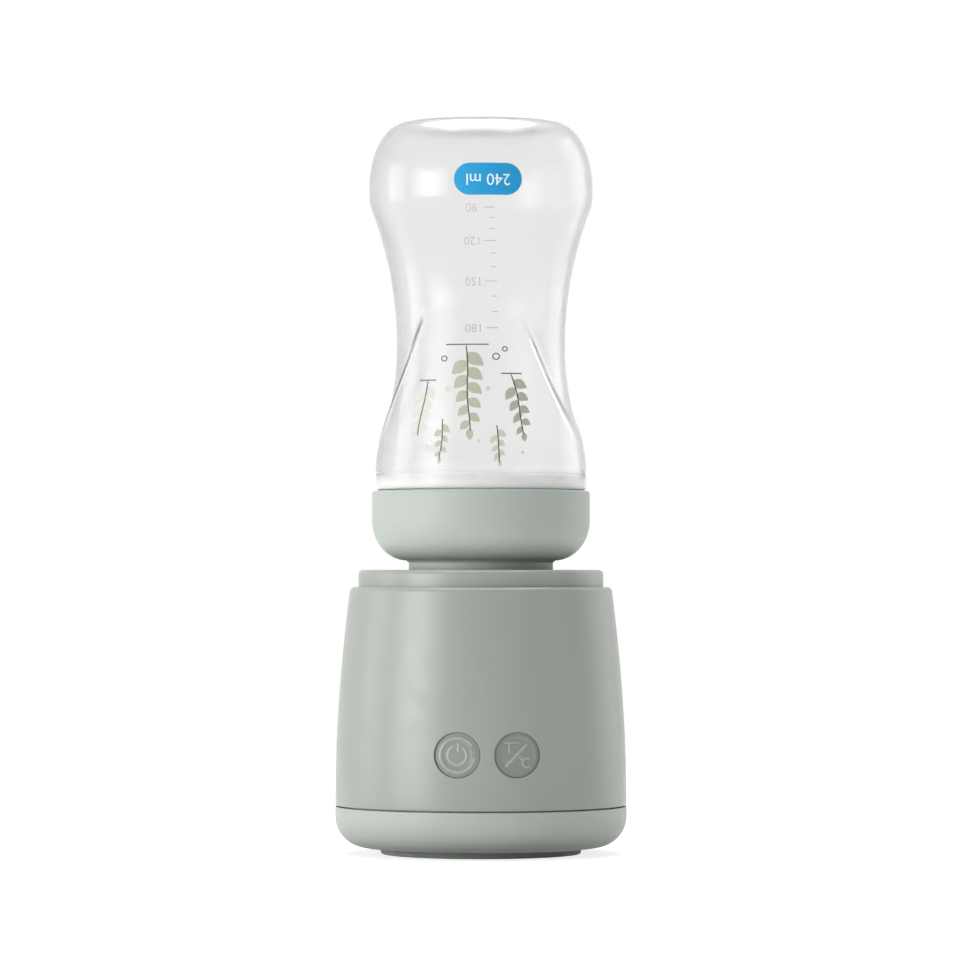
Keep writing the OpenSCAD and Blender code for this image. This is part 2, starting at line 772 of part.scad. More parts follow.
module button_board_screws() {
  color([0.70, 0.71, 0.72]) for (s = [-1, 1])
    translate([s * board_boss_x, button_board_y + board_t, button_z]) rotate([90, 0, 0])
      screw(small_screw_r, board_t + button_screw_bite, small_head_r, small_head_h);
}

module switch_housings() {
  color([0.13, 0.13, 0.14]) for (s = [-1, 1]) difference() {
    translate([s * button_x - switch_w / 2, button_board_y - switch_h, button_z - switch_w / 2])
      cube([switch_w, switch_h, switch_w]);
    along_y(s * button_x, button_board_y - switch_h - 1, button_z)
      cylinder(d = stem_d + 2 * slide_gap, h = switch_h + 0.4);
  }
}

module indicator_lights() {
  at = (light_in_r + light_out_r) / 2;
  color([0.95, 0.93, 0.80]) for (a = [45, 135, 225, 315])
    translate([-button_x + at * cos(a), button_board_y - light_h / 2, button_z + at * sin(a)])
      cube([light_w, light_h, light_w], center = true);
}

module board_ribbon() {
  ribbon_z = button_z + ribbon_rise;
  color([0.85, 0.84, 0.78]) translate([-ribbon_w / 2, button_board_y + board_t, ribbon_z])
    cube([ribbon_w, ribbon_t, board_z - ribbon_z]);
}

// The body's outside over the height of a button, taken in by an inset
module button_cone(inset, half) {
  translate([0, 0, button_z - half])
    cylinder(r1 = side_r(button_z - half) - inset, r2 = side_r(button_z + half) - inset, h = 2 * half);
}

// A cap whose face follows the body, a flange behind the wall and a short pin on the switch stem
module button_cap(side) {
  intersection() {
    along_y(side * button_x, -base_r, button_z)
      cylinder(r = button_r, h = base_r + flange_y + flange_t / 2);
    button_cone(button_sink, button_r + 1);
  }
  along_y(side * button_x, flange_y, button_z) cylinder(r = flange_r, h = flange_t);
  along_y(side * button_x, flange_y + flange_t / 2, button_z)
    cylinder(d = stem_d, h = stem_y - flange_y - flange_t / 2);
}

module light_ring_solid(gap) {
  intersection() {
    along_y(-button_x, -base_r, button_z)
      tube(light_out_r + gap, light_in_r - gap, base_r + flange_y);
    difference() {
      button_cone(button_sink - gap, button_r + 1);
      button_cone(button_sink + light_depth, button_r + 2);
    }
  }
}

module power_button() {
  color([0.66, 0.68, 0.65]) difference() {
    button_cap(-1);
    light_ring_solid(0.05);
  }
}

module light_ring() {
  color([0.85, 0.86, 0.84]) light_ring_solid(0);
}

module temperature_button() {
  color([0.52, 0.54, 0.52]) button_cap(1);
}

module switch_stem(side) {
  along_y(side * button_x, stem_y, button_z) cylinder(d = stem_d, h = stem_len - button_travel);
}

module power_stem() {
  color([0.85, 0.85, 0.82]) switch_stem(-1);
}

module temperature_stem() {
  color([0.85, 0.85, 0.82]) switch_stem(1);
}

module adapter_gasket() {
  color([0.88, 0.87, 0.84]) rotate_extrude() polygon([
    [gasket_in_r, pan_top_z], [gasket_out_r, pan_top_z], [gasket_out_r, adapter_bottom_z],
    [gasket_in_r + gasket_lip_t, adapter_bottom_z],
    [gasket_in_r + gasket_lip_t, adapter_bottom_z + gasket_lip_h],
    [gasket_in_r, adapter_bottom_z + gasket_lip_h]
  ]);
}

// Bowl outside: a quarter ellipse from the neck up to the band
function bowl_curve(n = 12) = [
  for (i = [0:n]) let (a = 90 * i / n)
    [bowl_foot_r + (adapter_r - bowl_foot_r) * sin(a), band_z - bowl_h * cos(a)]
];

module adapter() {
  groove_z = band_z - 1;
  color([0.69, 0.71, 0.68]) union() {
    rotate_extrude() polygon(concat(
      [[passage_r, adapter_bottom_z], [neck_r, adapter_bottom_z], [neck_r, bowl_z - 0.5]],
      bowl_curve(),
      arc([adapter_r - adapter_round, adapter_top_z - adapter_round], adapter_round, 0, 90),
      [[adapter_r - skin_t, adapter_top_z], [adapter_r - skin_t, groove_z],
       [socket_r + sleeve_t, groove_z], [socket_r + sleeve_t, adapter_top_z],
       [socket_r + 0.5, adapter_top_z], [socket_r, adapter_top_z - 0.5], [socket_r, seat_z],
       [seat_in_r, seat_z], [passage_r, bowl_z]]
    ));
    double_thread(neck_r, neck_r + thread_h, neck_thread_z, adapter_lead);
    double_thread(socket_r, mouth_r + thread_gap, mouth_thread_z + bottle_lead / 4, bottle_lead);
  }
}

module mouth_seal() {
  color([0.88, 0.87, 0.84]) rotate_extrude() polygon([
    [seal_in_r, seat_z], [seal_out_r, seat_z], [seal_out_r, mouth_z], [seal_in_r + seal_lip_t, mouth_z],
    [seal_in_r + seal_lip_t, mouth_z + seal_lip_h], [seal_in_r, mouth_z + seal_lip_h]
  ]);
}

// Half outline of the bottle's round body, taken in by an inset, with its own end thickness
function bottle_outline(inset, low, high) =
  let (barrel = [barrel_r - inset, bottle_z + barrel_at], waist = [waist_r - inset, bottle_z + waist_at])
  let (belly = [belly_r - inset, bottle_z + belly_at], round_r = barrel_round - inset / 2)
  let (rise = high - belly[1] - belly_band, flat = base_flat_r - inset / 2)
  concat(
    [[0, low]],
    arc([barrel[0] - round_r, low + round_r], round_r, -90, 0),
    s_curve(barrel, waist, 1 - lower_share),
    s_curve(waist, belly, upper_share),
    [for (i = [0:10]) let (a = 9 * i)
      [flat + (belly[0] - flat) * cos(a), belly[1] + belly_band + rise * sin(a)]],
    [[0, high]]
  );

// Front and back panels: a cone cut by an arch that leans in to a round top
module bottle_panels(inset) {
  top_z = bottle_z + tongue_at;
  foot_z = bottle_z + barrel_at - 2;
  arch_c = [0, bottle_z + arch_at];
  side_p = arch_c + (arch_r - inset) * [cos(arch_lean), sin(arch_lean)];
  foot_x = side_p[0] + (side_p[1] - foot_z) * tan(arch_lean);
  intersection() {
    rotate_extrude() polygon([
      [0, foot_z], [barrel_r - inset, foot_z], [barrel_r - inset, bottle_z + barrel_at],
      [tongue_r - inset, top_z], [0, top_z]
    ]);
    rotate([90, 0, 0]) linear_extrude(2 * belly_r, center = true) polygon(concat(
      [[-foot_x, foot_z - 1], [foot_x, foot_z - 1]],
      arc(arch_c, arch_r - inset, arch_lean, 180 - arch_lean, 10)
    ));
  }
}

module bottle_body(inset, low, high) {
  rotate_extrude() polygon(bottle_outline(inset, low, high));
  bottle_panels(inset);
}

module bottle() {
  color([0.92, 0.94, 0.95, 0.45]) rotate([0, 0, bottle_turn]) difference() {
    union() {
      bottle_body(0, bottle_z, bottle_top_z);
      translate([0, 0, mouth_z]) cylinder(r = mouth_r, h = bottle_z - mouth_z + 1);
      double_thread(mouth_r, mouth_r + thread_h, mouth_thread_z, bottle_lead, -bottle_turn);
    }
    bottle_body(bottle_wall, bottle_z + bottle_wall, bottle_top_z - base_t);
    translate([0, 0, mouth_z - 1]) cylinder(r = mouth_in_r, h = bottle_z - mouth_z + bottle_wall + 2);
    translate([0, 0, bottle_top_z - punt_depth])
      cylinder(r1 = punt_r - 2 * punt_depth, r2 = punt_r, h = punt_depth + eps);
  }
}

body_shell();
base_cup();
foot_ring();
top_collar();
heating_pan();
pan_gasket();
heater_disc();
insulation_disc();
pan_clamp();
clamp_screws();
collar_screws();
base_screws();
temperature_sensor();
sensor_lead();
thermal_fuse();
heater_leads();
battery_cells();
left_cell_holder();
right_cell_holder();
cell_links();
main_board();
board_parts();
board_screws();
usb_socket();
button_board();
button_board_screws();
switch_housings();
indicator_lights();
board_ribbon();
power_button();
light_ring();
power_stem();
temperature_button();
temperature_stem();
adapter_gasket();
adapter();
mouth_seal();
bottle();
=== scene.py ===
"""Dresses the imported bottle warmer: smooth mouldings over its solids, a clear bottle with its print,
finishes for the inner pieces, and a plain studio stage.

The mesh code works in millimetres. Each finished piece is in metres, in the frame's own place.
"""

import json
import math
from types import SimpleNamespace

import bmesh
import bpy
import numpy as np
from bpy.props import FloatProperty, FloatVectorProperty, IntProperty, PointerProperty
from bpy.types import Operator, Panel, PropertyGroup
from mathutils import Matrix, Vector

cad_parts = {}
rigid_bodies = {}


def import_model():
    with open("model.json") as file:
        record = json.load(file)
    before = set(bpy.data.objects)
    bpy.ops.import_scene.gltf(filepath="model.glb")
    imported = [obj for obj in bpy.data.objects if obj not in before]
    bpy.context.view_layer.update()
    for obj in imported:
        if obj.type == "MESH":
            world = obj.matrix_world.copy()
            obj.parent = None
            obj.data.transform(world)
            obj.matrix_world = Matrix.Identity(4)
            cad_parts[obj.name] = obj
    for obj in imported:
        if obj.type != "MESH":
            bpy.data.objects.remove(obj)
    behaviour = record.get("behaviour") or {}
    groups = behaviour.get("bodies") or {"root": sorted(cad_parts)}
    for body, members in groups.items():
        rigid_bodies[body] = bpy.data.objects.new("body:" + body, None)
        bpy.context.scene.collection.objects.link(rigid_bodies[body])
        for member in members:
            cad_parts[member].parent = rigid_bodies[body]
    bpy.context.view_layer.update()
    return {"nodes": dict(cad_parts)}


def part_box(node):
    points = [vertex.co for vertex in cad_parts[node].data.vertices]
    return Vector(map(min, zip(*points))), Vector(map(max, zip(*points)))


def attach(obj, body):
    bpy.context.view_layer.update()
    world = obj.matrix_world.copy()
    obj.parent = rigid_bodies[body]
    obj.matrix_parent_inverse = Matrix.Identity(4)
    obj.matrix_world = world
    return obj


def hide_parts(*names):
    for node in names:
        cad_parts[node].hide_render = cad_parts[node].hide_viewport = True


bl_info = {
    "name": "Bottle warmer",
    "version": (1, 0, 0),
    "blender": (4, 5, 0),
    "location": "3D View > Sidebar > Warmer",
    "description": "Builds the looks of a portable bottle warmer around its packed solids",
    "category": "Object",
}

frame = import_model()
MM = 0.001
SHARP_EDGE = 32  # degrees between two faces, above which their edge stays sharp
ON_AXIS = 1e-6  # radius below which a point of an outline is on the axis


# Sizes and colours


def top_of(node):
    """Height of a node's highest point, in millimetres."""
    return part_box(node)[1].z / MM


def foot_of(node):
    """Height of a node's lowest point, in millimetres."""
    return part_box(node)[0].z / MM


def reach_of(node):
    """How far a node reaches along X from the axis, in millimetres."""
    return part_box(node)[1].x / MM


def back_of(node):
    """How far a node reaches along Y, in millimetres."""
    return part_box(node)[1].y / MM


def middle_of(node):
    """Middle of a node's box, in millimetres."""
    low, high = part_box(node)
    return (low + high) / 2 / MM


def tint(red, green, blue):
    """Linear colour of an 8-bit display colour."""
    return tuple(((c / 255 + 0.055) / 1.055) ** 2.4 for c in (red, green, blue))


def length(name, description, default):
    """A length property, with its default given in millimetres."""
    return FloatProperty(
        name=name, description=description, default=default * MM, min=0, unit="LENGTH", precision=5
    )


def angle(name, description, default):
    """An angle property, with its default given in degrees."""
    return FloatProperty(name=name, description=description, default=math.radians(default), subtype="ANGLE")


def colour(name, description, *display):
    """A colour property, with its default given as a display colour."""
    return FloatVectorProperty(
        name=name, description=description, default=tint(*display), size=3, min=0, max=1, subtype="COLOR"
    )


BUTTON_STUB = 0.5  # length of the stub behind a button's flange, which is the rearmost part of its solid


class WarmerSizes(PropertyGroup):
    """Sizes of the mouldings, the bottle and its print."""

    base_radius: length("Base radius", "Outside radius at the seam", reach_of("base_cup"))
    shoulder_radius: length("Shoulder radius", "Outside radius of the body at its shoulder", 41.5)
    shoulder_height: length("Shoulder height", "Height of the shoulder above the table", top_of("body_shell"))
    seam_height: length("Seam height", "Height of the seam between base cup and body", 15.3)
    seam_gap: length("Seam gap", "Width of the shadow gap at the seam", 0.4)
    seam_round: length("Seam round", "Radius of the two edges at the seam", 0.35)
    wall: length("Wall", "Wall of the body shell and the base cup", 2.2)
    bottom_round: length("Bottom round", "Radius of the base cup's bottom edge", 9.8)
    shoulder_round: length("Shoulder round", "Radius of the shoulder's edge", 1.6)
    ledge_radius: length("Ledge radius", "Radius of the hole in the shoulder", 35.8)
    ledge: length("Ledge", "Thickness of the shoulder", 2.4)
    side_bow: FloatProperty(
        name="Side bow", description="Bow of the body's side, where 1 is a straight cone", default=1.9, min=1
    )
    foot_radius: length("Foot radius", "Outside radius of the foot ring", reach_of("foot_ring"))
    foot_width: length("Foot width", "Width of the foot ring", 7)
    foot_height: length("Foot height", "Height of the base cup above the table", foot_of("base_cup"))
    foot_sink: length("Foot sink", "Depth of the groove that the foot ring sits in", 1)
    foot_rib: length("Foot rib", "Height of the ribs under the foot ring", 0.4)
    foot_ribs: IntProperty(
        name="Foot ribs", description="Number of ribs under the foot ring", default=90, min=3
    )
    screw_reach: length("Screw reach", "Distance of the base screws from the axis", 35.2)
    screw_angle: angle("Screw angle", "Direction of the base screws, from the sides", 52)
    screw_well: length("Screw well", "Radius of the wells for the base screws", 2.7)
    collar_radius: length("Collar radius", "Radius of the step on the shoulder", reach_of("top_collar"))
    collar_top: length("Collar top", "Height of the collar's top", top_of("top_collar"))
    collar_plate: length("Collar plate", "Thickness of the collar's top", 2.6)
    collar_round: length("Collar round", "Radius of the collar's edge", 1.4)
    well_radius: length("Well radius", "Radius of the threaded well", 24.25)
    pan_radius: length("Pan radius", "Radius of the heating pan", reach_of("heating_pan"))
    pan_top: length("Pan top", "Height of the heating pan's rim", top_of("heating_pan"))
    pan_depth: length("Pan depth", "Depth of the heating pan", 2.2)
    pan_sheet: length("Pan sheet", "Thickness of the heating pan's steel", 0.8)
    button_hole: length("Button hole", "Radius of the holes for the buttons", 7.1)
    button_radius: length("Button radius", "Radius of the buttons", 7.05)
    button_spread: length("Button spread", "Distance of a button from the middle",
                          middle_of("temperature_button").x)
    button_height: length("Button height", "Height of the buttons above the table",
                          middle_of("power_button").z)
    button_sink: length("Button sink", "Depth of the button faces below the body's surface", 0.6)
    button_edge: length("Button edge", "Radius of the edges of the button faces", 0.2)
    button_flange: length("Button flange", "Thickness of the buttons' flanges", 1.2)
    flange_rim: length("Flange rim", "How far the flanges reach past the buttons' sides", 1.2)
    button_stub: length("Button stub", "Length of the stub behind a button's flange", BUTTON_STUB)
    stub_radius: length("Stub radius", "Radius of the stub behind a button's flange", 1.7)
    button_back: length("Button back", "Distance of the flanges' backs from the axis",
                        BUTTON_STUB - back_of("power_button"))
    hole_lip: length("Hole lip", "Rounding at the edge of the holes", 0.15)
    socket_width: length("Charging socket width", "Width of the charging socket", 8.9)
    socket_height: length("Charging socket height", "Height of the charging socket", 3.3)
    socket_gap: length("Charging socket gap", "How much larger than the socket its slot is", 0.5)
    socket_face: length("Charging socket face", "Distance of the socket's face from the axis",
                        back_of("usb_socket"))
    socket_level: length("Charging socket level", "Height of the socket's middle", middle_of("usb_socket").z)
    adapter_radius: length("Adapter radius", "Radius of the band around the adapter", reach_of("adapter"))
    adapter_top: length("Adapter top", "Height of the adapter's rim", top_of("adapter"))
    adapter_foot: length("Adapter foot", "Height of the adapter's lower end", foot_of("adapter"))
    adapter_skin: length("Adapter skin", "Wall of the band around the adapter", 2.2)
    adapter_sleeve: length("Adapter sleeve", "Wall around the adapter's threaded socket", 1.9)
    band_height: length("Band height", "Height of the adapter's straight band", 9.4)
    bowl_height: length("Bowl height", "Height of the adapter's bowl", 12.7)
    neck_radius: length("Neck radius", "Radius of the adapter's neck", 22.9)
    passage_radius: length("Passage radius", "Radius of the way through the adapter", 20.5)
    socket_radius: length("Socket radius", "Radius of the adapter's threaded socket", 28.95)
    socket_floor: length("Socket floor", "Height of the seat in the adapter's socket", foot_of("mouth_seal"))
    seat_radius: length("Seat radius", "Inner radius of the seat in the adapter's socket", 24.65)
    bottle_foot: length("Bottle shoulder", "Height of the bottle's shoulder above the table", 115.35)
    barrel_level: length("Barrel level", "Height at which the bottle's straight barrel ends", 122.2)
    waist_level: length("Waist level", "Height of the bottle's waist", 161)
    belly_level: length("Belly level", "Height at which the bottle's wide end starts", 208.7)
    end_level: length("End level", "Height at which the bottle's end starts to round", 211.7)
    bottle_top: length("Bottle top", "Height of the bottle's flat end", top_of("bottle"))
    bottle_mouth: length("Bottle mouth", "Height of the bottle's rim", foot_of("bottle"))
    mouth_radius: length("Mouth radius", "Outside radius of the bottle's mouth", 27.6)
    mouth_wall: length("Mouth wall", "Wall of the bottle's mouth", 2.2)
    barrel_radius: length("Barrel radius", "Radius of the bottle next to the adapter", 33.4)
    waist_radius: length("Waist radius", "Radius of the bottle's waist", 26.7)
    belly_radius: length("Belly radius", "Radius of the bottle's wide end", 35.5)
    flat_radius: length("Flat radius", "Radius of the bottle's flat end", 24)
    hollow_radius: length("Hollow radius", "Radius of the hollow in the flat end", 17.5)
    hollow_depth: length("Hollow depth", "Depth of the hollow in the flat end", 0.8)
    bottle_wall: length("Bottle wall", "Wall of the bottle", 1.8)
    bottle_end: length("Bottle end", "Thickness of the bottle's flat end", 1.6)
    panel_radius: length("Panel radius", "Radius of the grip panels at their tip", 26.6)
    panel_level: length("Panel level", "Height of the grip panels' tips", 179.7)
    arch_level: length("Arch level", "Height of the middle of the panels' arches", 173.7)
    arch_radius: length("Arch radius", "Radius of the panels' arches", 13.2)
    panel_lean: angle("Panel lean", "Lean of the panels' straight sides", 23.6)
    crease: length("Crease", "Half the width of the crease around the grip panels", 1.7)
    bottle_turn: angle("Bottle turn", "Turn of the bottle's front panel from the buttons", -9.5)
    neck_lead: length("Neck lead", "Rise of the neck's thread in one turn", 8)
    neck_thread: length("Neck thread", "Height at which the neck's thread starts", foot_of("adapter") + 1.3)
    mouth_lead: length("Mouth lead", "Rise of the mouth's thread in one turn", 10)
    mouth_thread: length("Mouth thread", "Height at which the mouth's thread starts", foot_of("bottle") + 2.4)
    thread_turns: FloatProperty(
        name="Thread turns", description="Turns of each thread ridge", default=0.55, min=0.1
    )
    thread_ridge: length("Thread ridge", "Radius of the rounded thread ridges", 0.8)
    thread_stand: length("Thread stand", "Distance of the ridges' middles from their wall", 0.15)
    print_lift: length("Print lift", "Height of a layer of print above what is under it", 0.05)
    print_line: length("Print line", "Width of the fine printed lines", 0.36)
    leaf_length: length("Leaf length", "Length of the largest printed leaves", 6.4)
    scale_size: length("Scale size", "Height of the numbers on the bottle's scale", 2.6)


class WarmerColours(PropertyGroup):
    """Colours of the finishes."""

    shell: colour("Shell", "Satin plastic of the body", 147, 153, 145)
    cup: colour("Cup", "Matte plastic of the base cup and the adapter", 171, 178, 171)
    button: colour("Button", "Plastic of the power button", 134, 140, 133)
    # painted shade: the button plastic made darker for the temperature button's sunk face
    button_dark: colour("Dark button", "Plastic of the temperature button", 128, 135, 128)
    symbol: colour("Symbol", "Raised symbols on the buttons", 156, 162, 154)
    light: colour("Light", "Milky plastic of the light ring", 161, 166, 159)
    rubber: colour("Rubber", "Rubber of the foot ring", 150, 156, 148)
    silicone: colour("Silicone", "Milky silicone of the seals", 224, 224, 217)
    steel: colour("Steel", "Steel of the pan, the socket and the screws", 196, 197, 198)
    gilt: colour("Gilt", "Gilded contacts in the socket", 212, 178, 106)
    bottle: colour("Bottle", "Clear plastic of the bottle", 245, 244, 244)
    sage: colour("Sage print", "Paler leaves on the bottle", 203, 204, 191)
    khaki: colour("Khaki print", "Darker leaves on the bottle", 178, 180, 160)
    ink: colour("Ink print", "Fine dark lines on the bottle", 70, 72, 70)
    pale_ink: colour("Pale ink print", "Scale on the bottle", 186, 186, 182)
    blue: colour("Blue print", "Patch on the bottle", 10, 152, 208)
    white: colour("White print", "Number on the blue patch", 240, 246, 250)
    insulation: colour("Insulation", "Mineral fibre under the heater", 228, 224, 212)
    black: colour("Black", "Black plastic of the inner pieces", 46, 46, 48)
    white_lead: colour("White lead", "White insulation of thin wires", 222, 221, 214)
    red_lead: colour("Red lead", "Red insulation of the heater's wires", 186, 44, 36)


def measures():
    """The sizes, with lengths in millimetres."""
    sizes = bpy.context.scene.warmer_sizes
    m = SimpleNamespace()
    for key, prop in WarmerSizes.__annotations__.items():
        value = getattr(sizes, key)
        setattr(m, key, value / MM if prop.keywords.get("unit") == "LENGTH" else value)
    return m


# Scene helpers


def placed(name, data):
    """A new object in the scene."""
    obj = bpy.data.objects.new(name, data)
    bpy.context.scene.collection.objects.link(obj)
    return obj


def plain_mesh(obj):
    """A mesh of what an object's modifiers or its text make."""
    return bpy.data.meshes.new_from_object(obj.evaluated_get(bpy.context.evaluated_depsgraph_get()))


def piece(name, mesh, body, slot, *nodes):
    """A finished piece that rides on a body and stands for CAD nodes."""
    mesh.name = name
    obj = placed(name, mesh)
    if nodes:
        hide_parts(*nodes)
    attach(obj, body)
    return obj


# Node graphs


class Graph:
    """A node tree that is filled one node at a time."""

    def __init__(self, tree):
        self.tree = tree

    def node(self, kind, inputs=None, **settings):
        """Adds a node. Inputs are sockets to link or plain values to set."""
        made = self.tree.nodes.new(kind)
        for key, value in settings.items():
            setattr(made, key, value)
        for key, value in (inputs or {}).items():
            if isinstance(value, bpy.types.NodeSocket):
                self.tree.links.new(value, made.inputs[key])
            else:
                made.inputs[key].default_value = value
        return made

    def math(self, operation, *values):
        """Result of a Math node."""
        return self.node("ShaderNodeMath", dict(enumerate(values)), operation=operation).outputs[0]


class Finish(Graph):
    """A material on Object coordinates, built round one Principled shader."""

    def __init__(self, name, base, rough, metal=0.0):
        self.material = bpy.data.materials.new(name)
        self.material.use_nodes = True
        self.material.diffuse_color = (*base, 1.0)
        super().__init__(self.material.node_tree)
        self.shader = self.tree.nodes["Principled BSDF"]
        self.shader.inputs["Metallic"].default_value = metal
        self.place = self.node("ShaderNodeTexCoord").outputs["Object"]
        self.base, self.rough = base, rough

    def noise(self, scale, detail=2.0, stretch=(1, 1, 1)):
        """Noise with features of about 1 / scale metres."""
        spot = self.node("ShaderNodeMapping", {"Vector": self.place, "Scale": stretch}).outputs[0]
        return self.node("ShaderNodeTexNoise", {"Vector": spot, "Scale": scale, "Detail": detail}).outputs[0]

    def shades(self, factor, dark, light):
        """Base colour between two colours."""
        mix = self.node("ShaderNodeMix", {0: factor, 6: (*dark, 1), 7: (*light, 1)}, data_type="RGBA")
        self.tree.links.new(mix.outputs[2], self.shader.inputs["Base Color"])

    def mottle(self, amount, scale, stretch=(1, 1, 1)):
        """Faint cloudiness of the base colour."""
        dark = [c * (1 - amount) for c in self.base]
        light = [min(1.0, c * (1 + amount)) for c in self.base]
        self.shades(self.noise(scale, 3.0, stretch), dark, light)
        return self

    def gloss(self, spread, scale, stretch=(1, 1, 1)):
        """Roughness that wanders a little."""
        low, high = self.rough * (1 - spread), min(1.0, self.rough * (1 + spread))
        wander = self.node("ShaderNodeMapRange", {
            0: self.noise(scale, 2.0, stretch), 1: 0.3, 2: 0.7, 3: low, 4: high})
        self.tree.links.new(wander.outputs[0], self.shader.inputs["Roughness"])
        return self

    def grain(self, scale, depth, strength=0.5, stretch=(1, 1, 1)):
        """Fine relief, with its depth in millimetres."""
        bump = self.node("ShaderNodeBump", {
            "Height": self.noise(scale, 2.0, stretch), "Strength": strength, "Distance": depth * MM})
        self.tree.links.new(bump.outputs[0], self.shader.inputs["Normal"])
        return self

    def set(self, **sockets):
        """Plain values on the shader's own sockets, with spaces in their names as underscores."""
        for key, value in sockets.items():
            self.shader.inputs[key.replace("_", " ")].default_value = value
        return self


class Growth(Graph):
    """A geometry node tree with named inputs."""

    def __init__(self, name, **inputs):
        tree = bpy.data.node_groups.new(name, "GeometryNodeTree")
        super().__init__(tree)
        tree.interface.new_socket("Geometry", in_out="INPUT", socket_type="NodeSocketGeometry")
        tree.interface.new_socket("Geometry", in_out="OUTPUT", socket_type="NodeSocketGeometry")
        self.ids = {}
        for key, value in inputs.items():
            kind = "NodeSocketInt" if isinstance(value, int) else "NodeSocketFloat"
            socket = tree.interface.new_socket(key, in_out="INPUT", socket_type=kind)
            socket.default_value = value
            self.ids[key] = socket.identifier
        socket = tree.interface.new_socket("Finish", in_out="INPUT", socket_type="NodeSocketMaterial")
        self.ids["Finish"] = socket.identifier
        self.given = self.node("NodeGroupInput").outputs
        self.end = self.node("NodeGroupOutput")

    def vector(self, x, y, z):
        """A vector of three values or sockets."""
        return self.node("ShaderNodeCombineXYZ", {0: x, 1: y, 2: z}).outputs[0]

    def about_z(self, turn):
        """A rotation about Z."""
        return self.node("FunctionNodeAxisAngleToRotation", {"Axis": (0, 0, 1), "Angle": turn}).outputs[0]

    def move(self, geometry, shift):
        """The geometry, shifted."""
        return self.node("GeometryNodeTransform", {"Geometry": geometry, "Translation": shift}).outputs[0]

    def instances(self, points, shape, **more):
        """A copy of a shape on each point."""
        inputs = {"Points": points, "Instance": shape}
        inputs.update({key.capitalize(): value for key, value in more.items()})
        return self.node("GeometryNodeInstanceOnPoints", inputs).outputs[0]

    def ring(self, shape, count):
        """Copies of a shape turned about Z."""
        points = self.node("GeometryNodePoints", {"Count": count}).outputs[0]
        share = self.math("DIVIDE", self.node("GeometryNodeInputIndex").outputs[0], count)
        turn = self.about_z(self.math("MULTIPLY", share, 2 * math.pi))
        return self.instances(points, shape, rotation=turn)

    def close(self, geometry, smooth=False):
        """Ends the tree."""
        real = self.node("GeometryNodeRealizeInstances", {"Geometry": geometry}).outputs[0]
        shaded = self.node("GeometryNodeSetShadeSmooth", {
            "Geometry": real, "Shade Smooth": smooth}).outputs[0]
        done = self.node("GeometryNodeSetMaterial", {"Geometry": shaded, "Material": self.given["Finish"]})
        self.tree.links.new(done.outputs[0], self.end.inputs[0])
        return self


def thread_growth():
    """Two rounded ridges that wind up a wall, with faded ends."""
    g = Growth("screw_thread", Radius=0.02, Lead=0.008, Turns=0.55, Ridge=0.0008, Level=0.0)
    rise = g.math("MULTIPLY", g.given["Lead"], g.given["Turns"])
    path = g.node("GeometryNodeCurveSpiral", {
        "Resolution": 96, "Rotations": g.given["Turns"], "Start Radius": g.given["Radius"],
        "End Radius": g.given["Radius"], "Height": rise, "Reverse": True}).outputs[0]
    along = g.node("GeometryNodeSplineParameter").outputs["Factor"]
    near_end = g.math("MINIMUM", along, g.math("SUBTRACT", 1.0, along))
    fade = g.math("MINIMUM", 1.0, g.math("MULTIPLY_ADD", near_end, 9.0, 0.2))
    path = g.node("GeometryNodeSetCurveRadius", {"Curve": path, "Radius": fade}).outputs[0]
    section = g.node("GeometryNodeCurvePrimitiveCircle", {
        "Resolution": 12, "Radius": g.given["Ridge"]}).outputs[0]
    ridge = g.node("GeometryNodeCurveToMesh", {
        "Curve": path, "Profile Curve": section, "Fill Caps": True}).outputs[0]
    level = g.vector(0.0, 0.0, g.given["Level"])
    return g.close(g.ring(g.move(ridge, level), 2), smooth=True)


def rib_growth():
    """Straight ribs that stand round a ring."""
    g = Growth("ring_of_ribs", Count=60, Radius=0.03, Length=0.005, Width=0.0008, Height=0.0004)
    rib = g.node("GeometryNodeMeshCube", {
        "Size": g.vector(g.given["Length"], g.given["Width"], g.given["Height"])}).outputs[0]
    half = g.math("MULTIPLY", g.given["Height"], 0.5)
    return g.close(g.ring(g.move(rib, g.vector(g.given["Radius"], 0.0, half)), g.given["Count"]))


